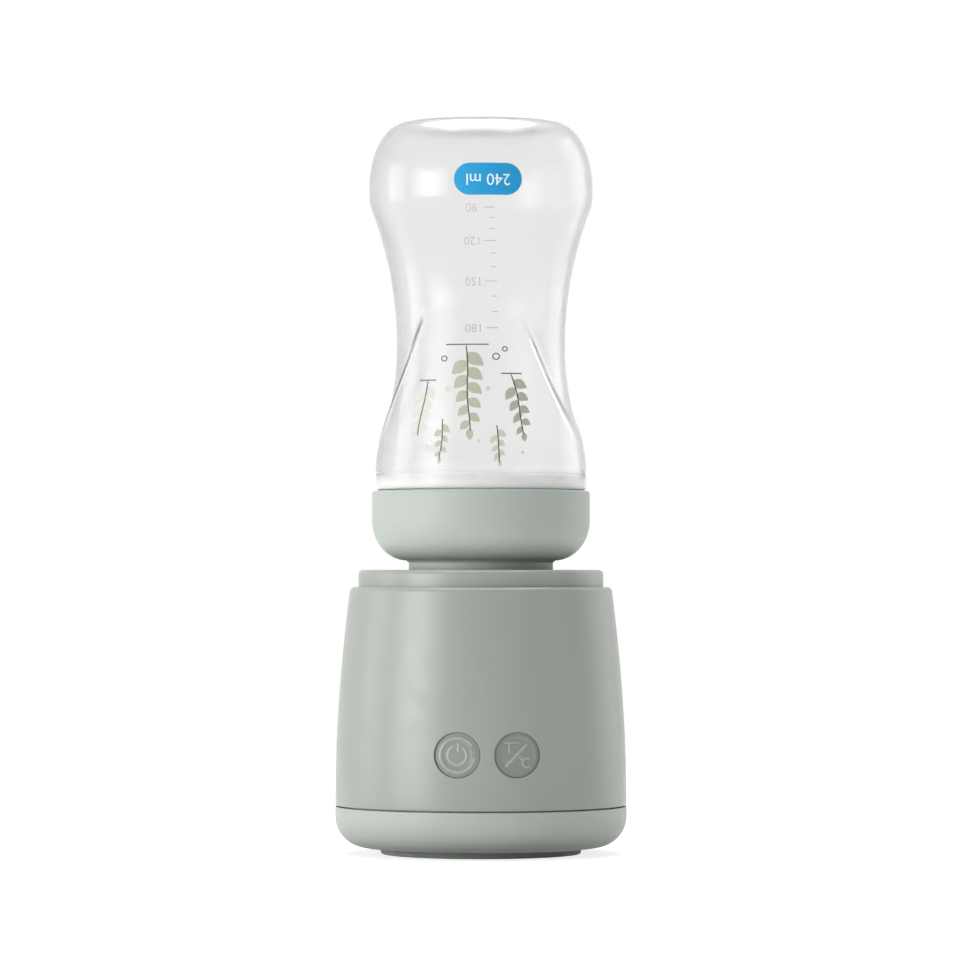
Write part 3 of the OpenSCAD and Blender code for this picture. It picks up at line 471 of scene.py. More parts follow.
def sprig_growth():
    """Flat leaves on both sides of a stem that runs along X, smaller towards its tip."""
    g = Growth("leaf_sprig", Leaves=9, Stem=0.02, Length=0.006, Width=0.003, Lean=0.8)
    blade = g.node("GeometryNodeMeshGrid", {
        "Size X": 1.0, "Size Y": 1.0, "Vertices X": 13, "Vertices Y": 5}).outputs[0]
    spot = g.node("ShaderNodeSeparateXYZ", {0: g.node("GeometryNodeInputPosition").outputs[0]}).outputs
    along = g.math("ADD", spot[0], 0.5)
    swell = g.math("SINE", g.math("MULTIPLY", g.math("POWER", along, 0.8), math.pi))
    across = g.math("MULTIPLY", g.math("MULTIPLY", spot[1], g.given["Width"]), swell)
    shaped = g.vector(g.math("MULTIPLY", along, g.given["Length"]), across, 0.0)
    leaf = g.node("GeometryNodeSetPosition", {"Geometry": blade, "Position": shaped}).outputs[0]
    step = g.math("DIVIDE", g.given["Stem"], g.given["Leaves"])
    nodes = g.node("GeometryNodeMeshLine", {
        "Count": g.given["Leaves"], "Start Location": g.vector(step, 0.0, 0.0),
        "Offset": g.vector(step, 0.0, 0.0)}).outputs[0]
    index = g.node("GeometryNodeInputIndex").outputs[0]
    side = g.math("SUBTRACT", 1.0, g.math("MULTIPLY", g.math("MODULO", index, 2.0), 2.0))
    last = g.math("COMPARE", index, g.math("SUBTRACT", g.given["Leaves"], 1.0), 0.1)
    lean = g.math("MULTIPLY", g.math("MULTIPLY", side, g.given["Lean"]), g.math("SUBTRACT", 1.0, last))
    size = g.math("SUBTRACT", 1.0, g.math("MULTIPLY", g.math("DIVIDE", index, g.given["Leaves"]), 0.45))
    leaves = g.instances(nodes, leaf, rotation=g.about_z(lean), scale=g.vector(size, size, size))
    return g.close(leaves)


def bar_growth():
    """A flat bar on each point of the mesh that carries the tree."""
    g = Growth("bars_on_points", Length=0.003, Width=0.0003)
    bar = g.node("GeometryNodeMeshGrid", {
        "Size X": g.given["Length"], "Size Y": g.given["Width"], "Vertices X": 9, "Vertices Y": 2}).outputs[0]
    return g.close(g.instances(g.given["Geometry"], bar))


def dot_growth():
    """A flat round dot on each point of the mesh that carries the tree, of sizes that differ a little."""
    g = Growth("dots_on_points", Radius=0.0005, Spread=0.4, Seed=7)
    dot = g.node("GeometryNodeMeshCircle", {
        "Vertices": 20, "Radius": g.given["Radius"]}, fill_type="NGON").outputs[0]
    size = g.node("FunctionNodeRandomValue", {
        2: g.math("SUBTRACT", 1.0, g.given["Spread"]), 3: g.math("ADD", 1.0, g.given["Spread"]),
        "Seed": g.given["Seed"]}, data_type="FLOAT").outputs[1]
    return g.close(g.instances(g.given["Geometry"], dot, scale=g.vector(size, size, size)))


def contact_growth():
    """A row of small contact blades along X."""
    g = Growth("contact_row", Count=12, Pitch=0.0005, Width=0.00026, Length=0.0045, Height=0.00012)
    blade = g.node("GeometryNodeMeshCube", {
        "Size": g.vector(g.given["Width"], g.given["Length"], g.given["Height"])}).outputs[0]
    span = g.math("MULTIPLY", g.math("SUBTRACT", g.given["Count"], 1.0), g.given["Pitch"])
    first = g.math("MULTIPLY", span, -0.5)
    row = g.node("GeometryNodeMeshLine", {
        "Count": g.given["Count"], "Start Location": g.vector(first, 0.0, 0.0),
        "Offset": g.vector(g.given["Pitch"], 0.0, 0.0)}).outputs[0]
    return g.close(g.instances(row, blade))


GROWTHS = {}
BARE_INPUTS = ("Turns", "Lean", "Spread")  # inputs of the trees that are numbers and no lengths


def grow(maker, material, points=(), **values):
    """Plain mesh of a geometry node tree, in metres. Lengths are given in millimetres."""
    if maker not in GROWTHS:
        GROWTHS[maker] = maker()
    growth = GROWTHS[maker]
    seed = bpy.data.meshes.new("seed")
    seed.from_pydata([tuple(c * MM for c in p) for p in points], [], [])
    holder = placed("seed", seed)
    modifier = holder.modifiers.new("growth", "NODES")
    modifier.node_group = growth.tree
    modifier[growth.ids["Finish"]] = material
    for key, value in values.items():
        bare = isinstance(value, int) or key in BARE_INPUTS
        modifier[growth.ids[key]] = value if bare else value * MM
    mesh = plain_mesh(holder)
    mesh.materials.clear()
    mesh.materials.append(material)
    mesh.polygons.foreach_set("material_index", [0] * len(mesh.polygons))
    holder.modifiers.remove(modifier)
    bpy.data.objects.remove(holder)
    bpy.data.meshes.remove(seed)
    return mesh


# Finishes


def plain_finish(name, base, rough, mottle, gloss, grain=None, metal=0.0, **sockets):
    """A surface with a cloudy colour, a wandering sheen and, where it has one, a fine grain."""
    made = Finish(name, base, rough, metal).mottle(*mottle).gloss(*gloss)
    if grain:
        made.grain(*grain)
    return made.set(**sockets)


# Each key is also the name of the finish's colour. Mottle and gloss are an amount and a scale, and grain is
# a scale, a depth and a strength. Any of them may end with a stretch.
PLAIN_FINISHES = {
    # satin moulding under a thin gloss
    "shell": dict(name="shell_plastic", rough=0.4, mottle=(0.02, 70), gloss=(0.12, 160),
                  grain=(900, 0.012, 0.25), Coat_Weight=0.18, Coat_Roughness=0.16),
    # matte moulding with a fine spark-eroded grain
    "cup": dict(name="cup_plastic", rough=0.52, mottle=(0.025, 80), gloss=(0.1, 300),
                grain=(2600, 0.03, 0.35)),
    # matte button plastic
    "button": dict(name="button_plastic", rough=0.46, mottle=(0.03, 300), gloss=(0.12, 500),
                   grain=(3200, 0.02, 0.35)),
    # the button plastic painted darker, as painted shade on the temperature button's sunk face
    "button_dark": dict(name="dark_button_plastic", rough=0.42, mottle=(0.03, 300), gloss=(0.12, 500),
                        grain=(3200, 0.02, 0.35)),
    # raised lines, polished by touch
    "symbol": dict(name="symbol_plastic", rough=0.34, mottle=(0.03, 600), gloss=(0.15, 700)),
    # milky light guide
    "light": dict(name="light_plastic", rough=0.3, mottle=(0.02, 400), gloss=(0.1, 500),
                  Subsurface_Weight=0.3, Subsurface_Radius=(0.001, 0.001, 0.001), Subsurface_Scale=1.0),
    # dull rubber, a little dusty
    "rubber": dict(name="foot_rubber", rough=0.72, mottle=(0.09, 220), gloss=(0.12, 400), grain=(2400, 0.05)),
    # milky silicone
    "silicone": dict(name="silicone", rough=0.48, mottle=(0.02, 120), gloss=(0.12, 300),
                     grain=(1500, 0.02, 0.3), Subsurface_Weight=0.35, Subsurface_Scale=1.0,
                     Subsurface_Radius=(0.002, 0.002, 0.0016)),
    # steel with brush marks along X
    "steel": dict(name="steel", rough=0.3, metal=1.0, mottle=(0.05, 120, (1, 8, 8)),
                  gloss=(0.25, 240, (1, 12, 12)), grain=(500, 0.01, 0.3, (1, 14, 14))),
    # gilded metal
    "gilt": dict(name="gilt", rough=0.28, metal=1.0, mottle=(0.05, 900), gloss=(0.2, 1500)),
    # pressed mineral fibre
    "insulation": dict(name="insulation", rough=0.9, mottle=(0.08, 700, (1, 6, 1)), gloss=(0.08, 300),
                       grain=(1400, 0.12, 0.5, (1, 5, 1))),
    # plain moulding and wire insulation
    "black": dict(name="black_plastic", rough=0.48, mottle=(0.1, 160), gloss=(0.15, 300), grain=(2200, 0.03)),
    "white_lead": dict(name="white_lead", rough=0.45, mottle=(0.04, 300), gloss=(0.15, 400),
                       grain=(1500, 0.02)),
    "red_lead": dict(name="red_lead", rough=0.42, mottle=(0.06, 300), gloss=(0.15, 400), grain=(1500, 0.02)),
}
PRINT_ROUGHNESS = {"sage": 0.5, "khaki": 0.5, "ink": 0.5, "pale_ink": 0.5, "blue": 0.55, "white": 0.4}
for ink_key, ink_rough in PRINT_ROUGHNESS.items():  # screen-printed inks, thinner in places
    PLAIN_FINISHES[ink_key] = dict(
        name=f"print_{ink_key}", rough=ink_rough, mottle=(0.05, 900), gloss=(0.15, 700))


def bottle_finish():
    """Clear blow-moulded plastic, greyer along long ways through its wall and milky at the shoulder."""
    barrel = measures().barrel_level
    milky_below, clear_above = (barrel - 5) * MM, (barrel - 1) * MM
    f = Finish("bottle_plastic", bpy.context.scene.warmer_colours.bottle, 0.16)
    f.mottle(0.004, 40).gloss(0.2, 60).grain(28, 0.05, 0.12, (1, 1, 0.4))
    f.set(IOR=1.49, Specular_Tint=(0.4, 0.4, 0.4, 1.0), Subsurface_Weight=1.0, Subsurface_Scale=1.0,
          Subsurface_Radius=(0.004, 0.004, 0.004))
    height = f.node("ShaderNodeSeparateXYZ", {0: f.place}).outputs[2]
    clear = f.node("ShaderNodeMapRange", {
        0: height, 1: milky_below, 2: clear_above, 3: 0.2, 4: 1.0}).outputs[0]
    f.tree.links.new(clear, f.shader.inputs["Transmission Weight"])
    haze = f.node("ShaderNodeVolumeAbsorption", {"Color": (0.86, 0.875, 0.885, 1), "Density": 40.0})
    f.tree.links.new(haze.outputs[0], f.tree.nodes["Material Output"].inputs["Volume"])
    return f


def heater_finish():
    """Printed heater, with its tracks as rings."""
    f = Finish("heater", tint(150, 84, 52), 0.55)
    rings = f.node("ShaderNodeTexWave", {"Vector": f.place, "Scale": 130.0, "Distortion": 0.6},
                   wave_type="RINGS", rings_direction="Z").outputs[1]
    f.shades(rings, tint(96, 52, 34), tint(176, 108, 66))
    return f.gloss(0.15, 300).grain(900, 0.04)


def cell_finish():
    """Shrink sleeve of the battery cells, bare at their ends."""
    sleeve_end = 0.0318  # distance from the middle of the cells along X
    f = Finish("cells", tint(62, 128, 150), 0.3)
    spot = f.node("ShaderNodeSeparateXYZ", {0: f.place}).outputs[0]
    end = f.math("GREATER_THAN", f.math("ABSOLUTE", spot), sleeve_end)
    wander = f.math("MULTIPLY", f.noise(140, 2.0), 0.25)
    f.shades(f.math("MAXIMUM", end, wander), tint(52, 116, 140), tint(176, 178, 176))
    return f.gloss(0.2, 200)


def board_finish():
    """Green solder mask with paler tracks."""
    f = Finish("board", tint(28, 96, 52), 0.4)
    tracks = f.node("ShaderNodeTexBrick", {"Vector": f.place, "Scale": 160.0, "Mortar Size": 0.03}).outputs[1]
    f.shades(tracks, tint(24, 88, 48), tint(44, 122, 68))
    return f.gloss(0.15, 300).grain(700, 0.02)


OWN_FINISHES = {"bottle": bottle_finish, "heater": heater_finish, "cells": cell_finish, "board": board_finish}
FINISHES = {}


def finish(key):
    """The material of a finish, made when it is first asked for."""
    if key not in FINISHES:
        if key in OWN_FINISHES:
            made = OWN_FINISHES[key]()
        else:
            made = plain_finish(base=getattr(bpy.context.scene.warmer_colours, key), **PLAIN_FINISHES[key])
        FINISHES[key] = made.material
    return FINISHES[key]


# Meshes


def solid(points, faces, material, sharp=SHARP_EDGE):
    """A mesh in metres from points in millimetres, smooth up to an angle."""
    mesh = bpy.data.meshes.new("solid")
    mesh.from_pydata((np.asarray(points, float) * MM).tolist(), [], faces)
    mesh.materials.append(material)
    mesh.shade_smooth()
    mesh.set_sharp_from_angle(angle=math.radians(sharp))
    return mesh


def joined(meshes):
    """One mesh from several that share their first material."""
    whole = bpy.data.meshes.new("joined")
    whole.materials.append(meshes[0].materials[0])
    bm = bmesh.new()
    for mesh in meshes:
        bm.from_mesh(mesh)
        bpy.data.meshes.remove(mesh)
    bm.to_mesh(whole)
    bm.free()
    return whole


def outward(mesh):
    """The mesh with its faces turned outward."""
    bm = bmesh.new()
    bm.from_mesh(mesh)
    bmesh.ops.recalc_face_normals(bm, faces=bm.faces)
    bm.to_mesh(mesh)
    bm.free()
    return mesh


def all_round(count):
    """Angles of one turn in even steps."""
    return np.arange(count) * 2 * math.pi / count


def loops_of(count, size, start=0):
    """Point numbers of loops that follow each other in a list of points."""
    return [range(start + k * size, start + (k + 1) * size) for k in range(count)]


def lofted(loops, closed=True):
    """Quads that join each loop of point numbers to the next."""
    faces = []
    for near, far in zip(loops, loops[1:]):
        count = len(near)
        for n in range(count if closed else count - 1):
            k = (n + 1) % count
            faces.append((near[n], near[k], far[k], far[n]))
    return faces


def domed(tip, rings, tail):
    """Points and faces of rings of equal count, closed by one point before them and one behind."""
    size = len(rings[0])
    loops = loops_of(len(rings), size, 1)
    points = [tip] + [point for ring in rings for point in ring] + [tail]
    faces = []
    for n in range(size):
        k = (n + 1) % size
        faces.append((0, loops[0][n], loops[0][k]))
        faces += [(near[n], far[n], far[k], near[k]) for near, far in zip(loops, loops[1:])]
        faces.append((loops[-1][n], len(points) - 1, loops[-1][k]))
    return points, faces


def arc(centre, radius, start, end, steps=8):
    """Points of an arc; the radius may differ across and up."""
    across, up = radius if isinstance(radius, tuple) else (radius, radius)
    return [(centre[0] + across * math.cos(a), centre[1] + up * math.sin(a))
            for a in np.radians(np.linspace(start, end, steps + 1))]


def rounding(radius):
    """Points over a rounded edge, as distances from its side and from its face."""
    return [(radius * (1 - math.sin(a)), radius * (1 - math.cos(a)))
            for a in np.radians(np.linspace(0, 90, 5))]


def headings(path):
    """Unit vectors along a path."""
    along = np.gradient(path, axis=0)
    return along / np.linalg.norm(along, axis=1)[:, None]


def filleted(corners, closed=True, steps=5):
    """An outline of (radius, height, rounding) corners with its roundings drawn."""
    outline, count = [], len(corners)
    for k, (r, z, bend) in enumerate(corners):
        here = Vector((r, z))
        if bend == 0 or (not closed and k in (0, count - 1)):
            outline.append((r, z))
            continue
        back = (Vector(corners[k - 1][:2]) - here).normalized()
        ahead = (Vector(corners[(k + 1) % count][:2]) - here).normalized()
        half = back.angle(ahead) / 2
        centre = here + (back + ahead).normalized() * (bend / math.sin(half))
        first = here + back * (bend / math.tan(half)) - centre
        last = here + ahead * (bend / math.tan(half)) - centre
        swing = first.angle(last)
        for t in np.linspace(0, 1, steps + 1):
            reach = first * math.sin((1 - t) * swing) + last * math.sin(t * swing)
            spot = centre + reach / math.sin(swing)
            outline.append((spot.x, spot.y))
    return outline


def turned(outline, columns, closed=True, turn=0.0, bulge=None, skip=()):
    """Points and faces of an outline turned about Z. It runs up the outside and down the inside, and may end
    on the axis. Columns count from -Y towards +X. A bulge adds to the radius by angle and height."""
    angles = all_round(columns)
    points, rings = [], []
    for r, z in outline:
        rings.append(len(points))
        if r < ON_AXIS:
            points.append((0.0, 0.0, z))
            continue
        reach = r + (bulge(angles, z) if bulge else 0.0) * np.ones(columns)
        points += zip(reach * np.sin(angles + turn), -reach * np.cos(angles + turn), np.full(columns, z))
    faces = []
    for k in range(len(outline) if closed else len(outline) - 1):
        n = (k + 1) % len(outline)
        low, high = rings[k], rings[n]
        low_pole, high_pole = outline[k][0] < ON_AXIS, outline[n][0] < ON_AXIS
        for i in range(columns):
            if (k, i) in skip:
                continue
            j = (i + 1) % columns
            if low_pole and not high_pole:
                faces.append((low, high + j, high + i))
            elif high_pole and not low_pole:
                faces.append((low + i, low + j, high))
            elif not low_pole:
                faces.append((low + i, low + j, high + j, high + i))
    return points, faces


def turned_mesh(outline, material, columns=192, closed=True):
    """A turned piece as a mesh."""
    points, faces = turned(outline, columns, closed)
    return solid(points, faces, material)


def thread_mesh(m, coat, wall, lead, level, inside=False):
    """A two-start thread on a wall. One inside a wall starts between the ridges of the thread it takes."""
    radius = wall - m.thread_stand if inside else wall + m.thread_stand
    start = level + lead / 4 if inside else level
    return grow(thread_growth, finish(coat), Radius=radius, Lead=lead, Turns=m.thread_turns,
                Ridge=m.thread_ridge, Level=start)


# Mouldings


def side_radius(m, z):
    """Outside radius of the body at a height."""
    rise = np.clip((z - m.seam_height) / (m.shoulder_height - m.seam_height), 0, None)
    return m.base_radius - (m.base_radius - m.shoulder_radius) * rise ** m.side_bow


def round_edge(radius):
    """Distance of a round hole's edge from its middle, by direction."""
    return lambda across, up: radius


def stadium_edge(width, height):
    """Distance of a stadium-shaped hole's edge from its middle, by direction."""
    r = height / 2
    straight = width / 2 - r

    def edge(across, up):
        flat = r / max(abs(up), 1e-9)
        if flat * abs(across) <= straight:
            return flat
        return straight * abs(across) + math.sqrt(max(0.0, r * r - (straight * up) ** 2))

    return edge


def shell_mesh(m):
    """The body shell: a turned wall with round holes for the buttons and a slot for the charging socket."""
    columns, chamfer, spare = 288, 0.3, 1.0
    step = 2 * math.pi / columns
    low = m.seam_height + m.seam_gap / 2
    ceiling = m.shoulder_height - m.ledge
    corner = m.shoulder_height - m.shoulder_round
    rows = np.linspace(low + m.seam_round, ceiling - 0.4, 67)
    outer = list(zip(side_radius(m, rows), rows))
    inner = [(r - m.wall, z) for r, z in outer]
    outline = arc((outer[0][0] - m.seam_round, low + m.seam_round), m.seam_round, -90, -22, 3)
    first_outer = len(outline)
    outline += outer
    outline += [(side_radius(m, z), z) for z in np.linspace(ceiling, corner, 3)]
    outline += arc((side_radius(m, corner) - m.shoulder_round, corner), m.shoulder_round, 12, 90, 7)
    outline += [(m.ledge_radius + chamfer, m.shoulder_height), (m.ledge_radius, m.shoulder_height - chamfer),
                (m.ledge_radius, ceiling), (inner[-1][0] - 0.3, ceiling), (inner[-1][0], ceiling - 0.2)]
    first_inner = len(outline)
    outline += inner[::-1]
    outline.append((inner[0][0], low))

    button = round_edge(m.button_hole)
    slot = stadium_edge(m.socket_width + m.socket_gap, m.socket_height + m.socket_gap)
    holes = [  # turn about the axis, place across and up, edge, half width and half height
        (0.0, -m.button_spread, m.button_height, button, m.button_hole, m.button_hole),
        (0.0, m.button_spread, m.button_height, button, m.button_hole, m.button_hole),
        (math.pi, 0.0, m.socket_level, slot, m.socket_width / 2, m.socket_height / 2)]
    skip, extra, quads = set(), [], []
    start = len(outline) * columns
    for turn, x0, z0, edge_at, wide, high in holes:
        around = side_radius(m, z0)
        i0 = math.floor((turn + math.asin((x0 - wide - spare) / around)) / step)
        i1 = math.ceil((turn + math.asin((x0 + wide + spare) / around)) / step)
        j0 = int(np.searchsorted(rows, z0 - high - spare)) - 1
        j1 = int(np.searchsorted(rows, z0 + high + spare))
        for j in range(j0, j1):
            for i in range(i0, i1):
                skip.add((first_outer + j, i % columns))
                skip.add((first_inner + len(rows) - 2 - j, i % columns))
        column, row = np.array(
            [(i, j0) for i in range(i0, i1)] + [(i1, j) for j in range(j0, j1)]
            + [(i, j1) for i in range(i1, i0, -1)] + [(i0, j) for j in range(j1, j0, -1)]).T
        from_x = side_radius(m, rows[row]) * np.sin(column * step - turn) - x0
        from_z = rows[row] - z0
        away = np.hypot(from_x, from_z)
        dx, dz = from_x / away, from_z / away
        edge = np.array([edge_at(across, up) for across, up in zip(dx, dz)])

        def ring(share, reach, inset=0.0, depth=0.0):
            """Points on the way from the cut's border to a distance from the hole's middle."""
            x = x0 + (1 - share) * from_x + share * dx * reach
            z = z0 + (1 - share) * from_z + share * dz * reach
            out = np.sqrt((side_radius(m, z) - inset) ** 2 - x * x) - depth
            c, s = math.cos(turn), math.sin(turn)
            return list(zip(c * x + s * out, s * x - c * out, z))

        rings = [ring(share, edge + m.hole_lip) for share in (0.2, 0.4, 0.6, 0.8, 1.0)]
        rings += [ring(1.0, edge + short, depth=deep) for short, deep in rounding(m.hole_lip)[1:]]
        rings += [ring(share, edge, inset=m.wall) for share in (1.0, 0.5)]
        outer_border = (first_outer + row) * columns + column % columns
        inner_border = (first_inner + len(rows) - 1 - row) * columns + column % columns
        between = loops_of(len(rings), len(row), start + len(extra))
        quads += lofted([outer_border.tolist()] + between + [inner_border.tolist()])
        for points in rings:
            extra += points
    points, faces = turned(outline, columns, skip=skip)
    return solid(points + extra, faces + quads, finish("shell"))


def cut_wells(mesh, places, radius, low, high):
    """Cuts round wells into a mesh and returns the result."""
    bm = bmesh.new()
    for x, y in places:
        made = bmesh.ops.create_cone(bm, cap_ends=True, segments=48, radius1=radius * MM, radius2=radius * MM,
                                     depth=(high - low) * MM)
        bmesh.ops.translate(bm, verts=made["verts"], vec=(x * MM, y * MM, (low + high) / 2 * MM))
    tools = bpy.data.meshes.new("wells")
    bm.to_mesh(tools)
    bm.free()
    cutter, block = placed("wells", tools), placed("block", mesh)
    cut = block.modifiers.new("wells", "BOOLEAN")
    cut.operation, cut.solver, cut.object = "DIFFERENCE", "EXACT", cutter
    result = plain_mesh(block)
    block.modifiers.remove(cut)
    for obj, data in ((cutter, tools), (block, mesh)):
        bpy.data.objects.remove(obj)
        bpy.data.meshes.remove(data)
    result.set_sharp_from_angle(angle=math.radians(SHARP_EDGE))
    return result


def base_cup_mesh(m):
    """The base cup: rounded bottom edge, groove for the foot ring and wells for the screws."""
    gap, lip_width, lip_height, well_depth = 0.1, 1.4, 3, 4
    low, top = m.foot_height, m.seam_height - m.seam_gap / 2
    floor = low + m.wall
    groove = low + m.foot_sink
    inside = m.foot_radius - m.foot_width - gap
    outside = m.foot_radius + gap
    lip = m.base_radius - m.wall - 2 * gap
    outline = filleted([
        (0, low, 0), (inside, low, 0.2), (inside, groove, 0), (outside, groove, 0), (outside, low, 0.2),
        (m.base_radius, low, m.bottom_round), (m.base_radius, top, m.seam_round), (lip, top, 0),
        (lip, top + lip_height, 0.3), (lip - lip_width, top + lip_height, 0.3), (lip - lip_width, floor, 6),
        (0, floor, 0)], closed=False, steps=14)
    mesh = turned_mesh(outline, finish("cup"), columns=256, closed=False)
    x, y = m.screw_reach * math.cos(m.screw_angle), m.screw_reach * math.sin(m.screw_angle)
    places = [(-x, -y), (-x, y), (x, -y), (x, y)]
    return cut_wells(mesh, places, m.screw_well, low - 1, low + well_depth)


def foot_ring_mesh(m):
    """The rubber foot ring, with fine ribs in a groove under it."""
    inner_land, outer_land, shorter, rooted = 1.2, 1.4, 2.2, 0.1
    inside, outside, top = m.foot_radius - m.foot_width, m.foot_radius, m.foot_height + m.foot_sink
    groove = m.foot_rib
    ring = turned_mesh(filleted([
        (inside, 0, 0.4), (inside + inner_land, 0, 0), (inside + inner_land, groove, 0),
        (outside - outer_land, groove, 0), (outside - outer_land, 0, 0), (outside, 0, 0.7), (outside, top, 0),
        (inside, top, 0)]), finish("rubber"))
    ribs = grow(rib_growth, finish("rubber"), Count=m.foot_ribs, Radius=outside - m.foot_width / 2,
                Length=m.foot_width - shorter, Width=1.0, Height=groove + rooted)
    return joined([ring, ribs])


def collar_mesh(m):
    """The top collar: step on the shoulder, well wall and the well's thread."""
    gap, well_wall, rim = 0.2, 2.2, 2.0
    plate = m.collar_top - m.collar_plate
    well, low = m.well_radius, m.pan_top + 1
    spigot, hidden = m.ledge_radius - gap, m.shoulder_height - m.ledge + gap
    outline = filleted([
        (well, low, 0.2), (well + well_wall, low, 0.2), (well + well_wall, plate, 0.4),
        (spigot - rim, plate, 0.4), (spigot - rim, hidden, 0.2), (spigot, hidden, 0.2),
        (spigot, m.shoulder_height, 0), (m.collar_radius, m.shoulder_height, 0),
        (m.collar_radius, m.collar_top, m.collar_round), (well, m.collar_top, 0.7)])
    wall = turned_mesh(outline, finish("shell"), columns=256)
    return joined([wall, thread_mesh(m, "shell", well, m.neck_lead, m.neck_thread, inside=True)])


def pan_mesh(m):
    """The pressed steel pan at the bottom of the well."""
    floor, rim, half = 16.65, 18.25, m.pan_sheet / 2
    low = m.pan_top - m.pan_depth
    under, under_rim = low - m.pan_sheet, m.pan_top - m.pan_sheet
    return turned_mesh(filleted([
        (0, under, 0), (floor + half, under, 1.2), (rim + half, under_rim, 0.8),
        (m.pan_radius, under_rim, 0.2), (m.pan_radius, m.pan_top, 0.3), (rim, m.pan_top, 1.0),
        (floor, low, 0.8), (0, low, 0)], closed=False), finish("steel"), closed=False)


def seal_mesh(node, width):
    """A moulded seal with a lip that holds it in the piece above."""
    flange, lip = 2, 1.5
    low, high, outside = foot_of(node), top_of(node), reach_of(node)
    inside = outside - width
    return turned_mesh(filleted([
        (inside, low, 0.4), (outside, low, 0.4), (outside, low + flange, 0.4),
        (inside + lip, low + flange, 0.3), (inside + lip, high, 0.4),
        (inside, high, 0.4)]), finish("silicone"))


def adapter_mesh(m):
    """The adapter: bowl and band outside, neck below, socket and groove above, and both threads."""
    top, foot = m.adapter_top, m.adapter_foot
    band = top - m.band_height
    bowl = band - m.bowl_height
    groove = band - 1
    skin, sleeve = m.adapter_radius - m.adapter_skin, m.socket_radius + m.adapter_sleeve
    bowl_foot = m.neck_radius + 0.5
    outline = filleted([
        (m.passage_radius, bowl, 0), (m.passage_radius, foot, 0.3), (m.neck_radius, foot, 0.4),
        (m.neck_radius, bowl - 0.7, 0)], closed=False)
    outline += arc((bowl_foot, band), (m.adapter_radius - bowl_foot, m.bowl_height), -88, 0, 22)
    outline += filleted([
        (m.adapter_radius, band + 3, 0), (m.adapter_radius, top, 0.9), (skin, top, 0.5), (skin, groove, 0.8),
        (sleeve, groove, 0.8), (sleeve, top, 0.4), (m.socket_radius, top, 0.5),
        (m.socket_radius, m.socket_floor, 0.3), (m.seat_radius, m.socket_floor, 0.4),
        (m.passage_radius, bowl, 0)], closed=False)[:-1]
    return joined([
        turned_mesh(outline, finish("cup"), columns=256),
        thread_mesh(m, "cup", m.neck_radius, m.neck_lead, m.neck_thread),
        thread_mesh(m, "cup", m.socket_radius, m.mouth_lead, m.mouth_thread, inside=True)])


# Buttons

# (radius, depth) rings of the button faces, from the middle out
POWER_RELIEF = [
    (0.9, 0.3), (2.0, 0.3), (3.0, 0.3), (3.7, 0.3), (4.1, 0.29), (4.35, 0.18), (4.6, 0.04), (4.8, 0.0),
    (4.86, 0.0), (4.9, 0.06), (5.7, 0.06), (5.74, 0.0), (5.86, 0.02), (6.2, 0.05), (6.6, 0.12)]
DEGREE_RELIEF = [
    (1.2, 0.25), (2.6, 0.25), (4.0, 0.25), (5.0, 0.25), (5.3, 0.23), (5.5, 0.14), (5.7, 0.06), (5.9, 0.05),
    (6.2, 0.07), (6.6, 0.13)]
# (radius, depth) corners of the light ring's section, which stands in the power button's groove
LIGHT_SECTION = [
    (5.72, 0.9), (5.72, 0.06), (5.6, -0.06), (5.3, -0.1), (5.0, -0.06), (4.88, 0.06), (4.88, 0.9)]
LIGHT_RADIUS = 5.3
LENS_SECTION = [(0.18, -0.12), (0.32, -0.06), (0.4, 0.06), (0.4, 0.9)]


def button_face(m, x, z, depth=0.0):
    """Y of a button's face, which follows the body a little below its surface."""
    return depth - np.sqrt((side_radius(m, z) - m.button_sink) ** 2 - x * x)


def face_ring(m, x0, z0, radius, depth, angles):
    """Points round a place on a button's face, at a depth below it."""
    x, z = x0 + radius * np.cos(angles), z0 + radius * np.sin(angles)
    return list(zip(x, button_face(m, x, z, depth), z))


def button_mesh(m, side, relief, material):
    """A cap with a relief on its face, rounded at the edge, and a flange behind the wall."""
    x0, z0 = side * m.button_spread, m.button_height
    angles = all_round(96)
    rim = relief[-1][1]
    edge = [(m.button_radius - short, rim + deep) for short, deep in rounding(m.button_edge)]
    rings = [face_ring(m, x0, z0, radius, depth, angles) for radius, depth in relief + edge]
    back = -m.button_back
    front, end, flange = back - m.button_flange, back + m.button_stub, m.button_radius + m.flange_rim
    for radius, y in ((m.button_radius, front), (flange, front), (flange, back), (m.stub_radius, back),
                      (m.stub_radius, end)):
        x, z = x0 + radius * np.cos(angles), z0 + radius * np.sin(angles)
        rings.append(list(zip(x, np.full(len(angles), y), z)))
    tip = (x0, button_face(m, x0, z0, relief[0][1]), z0)
    points, faces = domed(tip, rings, (x0, end, z0))
    return solid(points, faces, material, sharp=40)


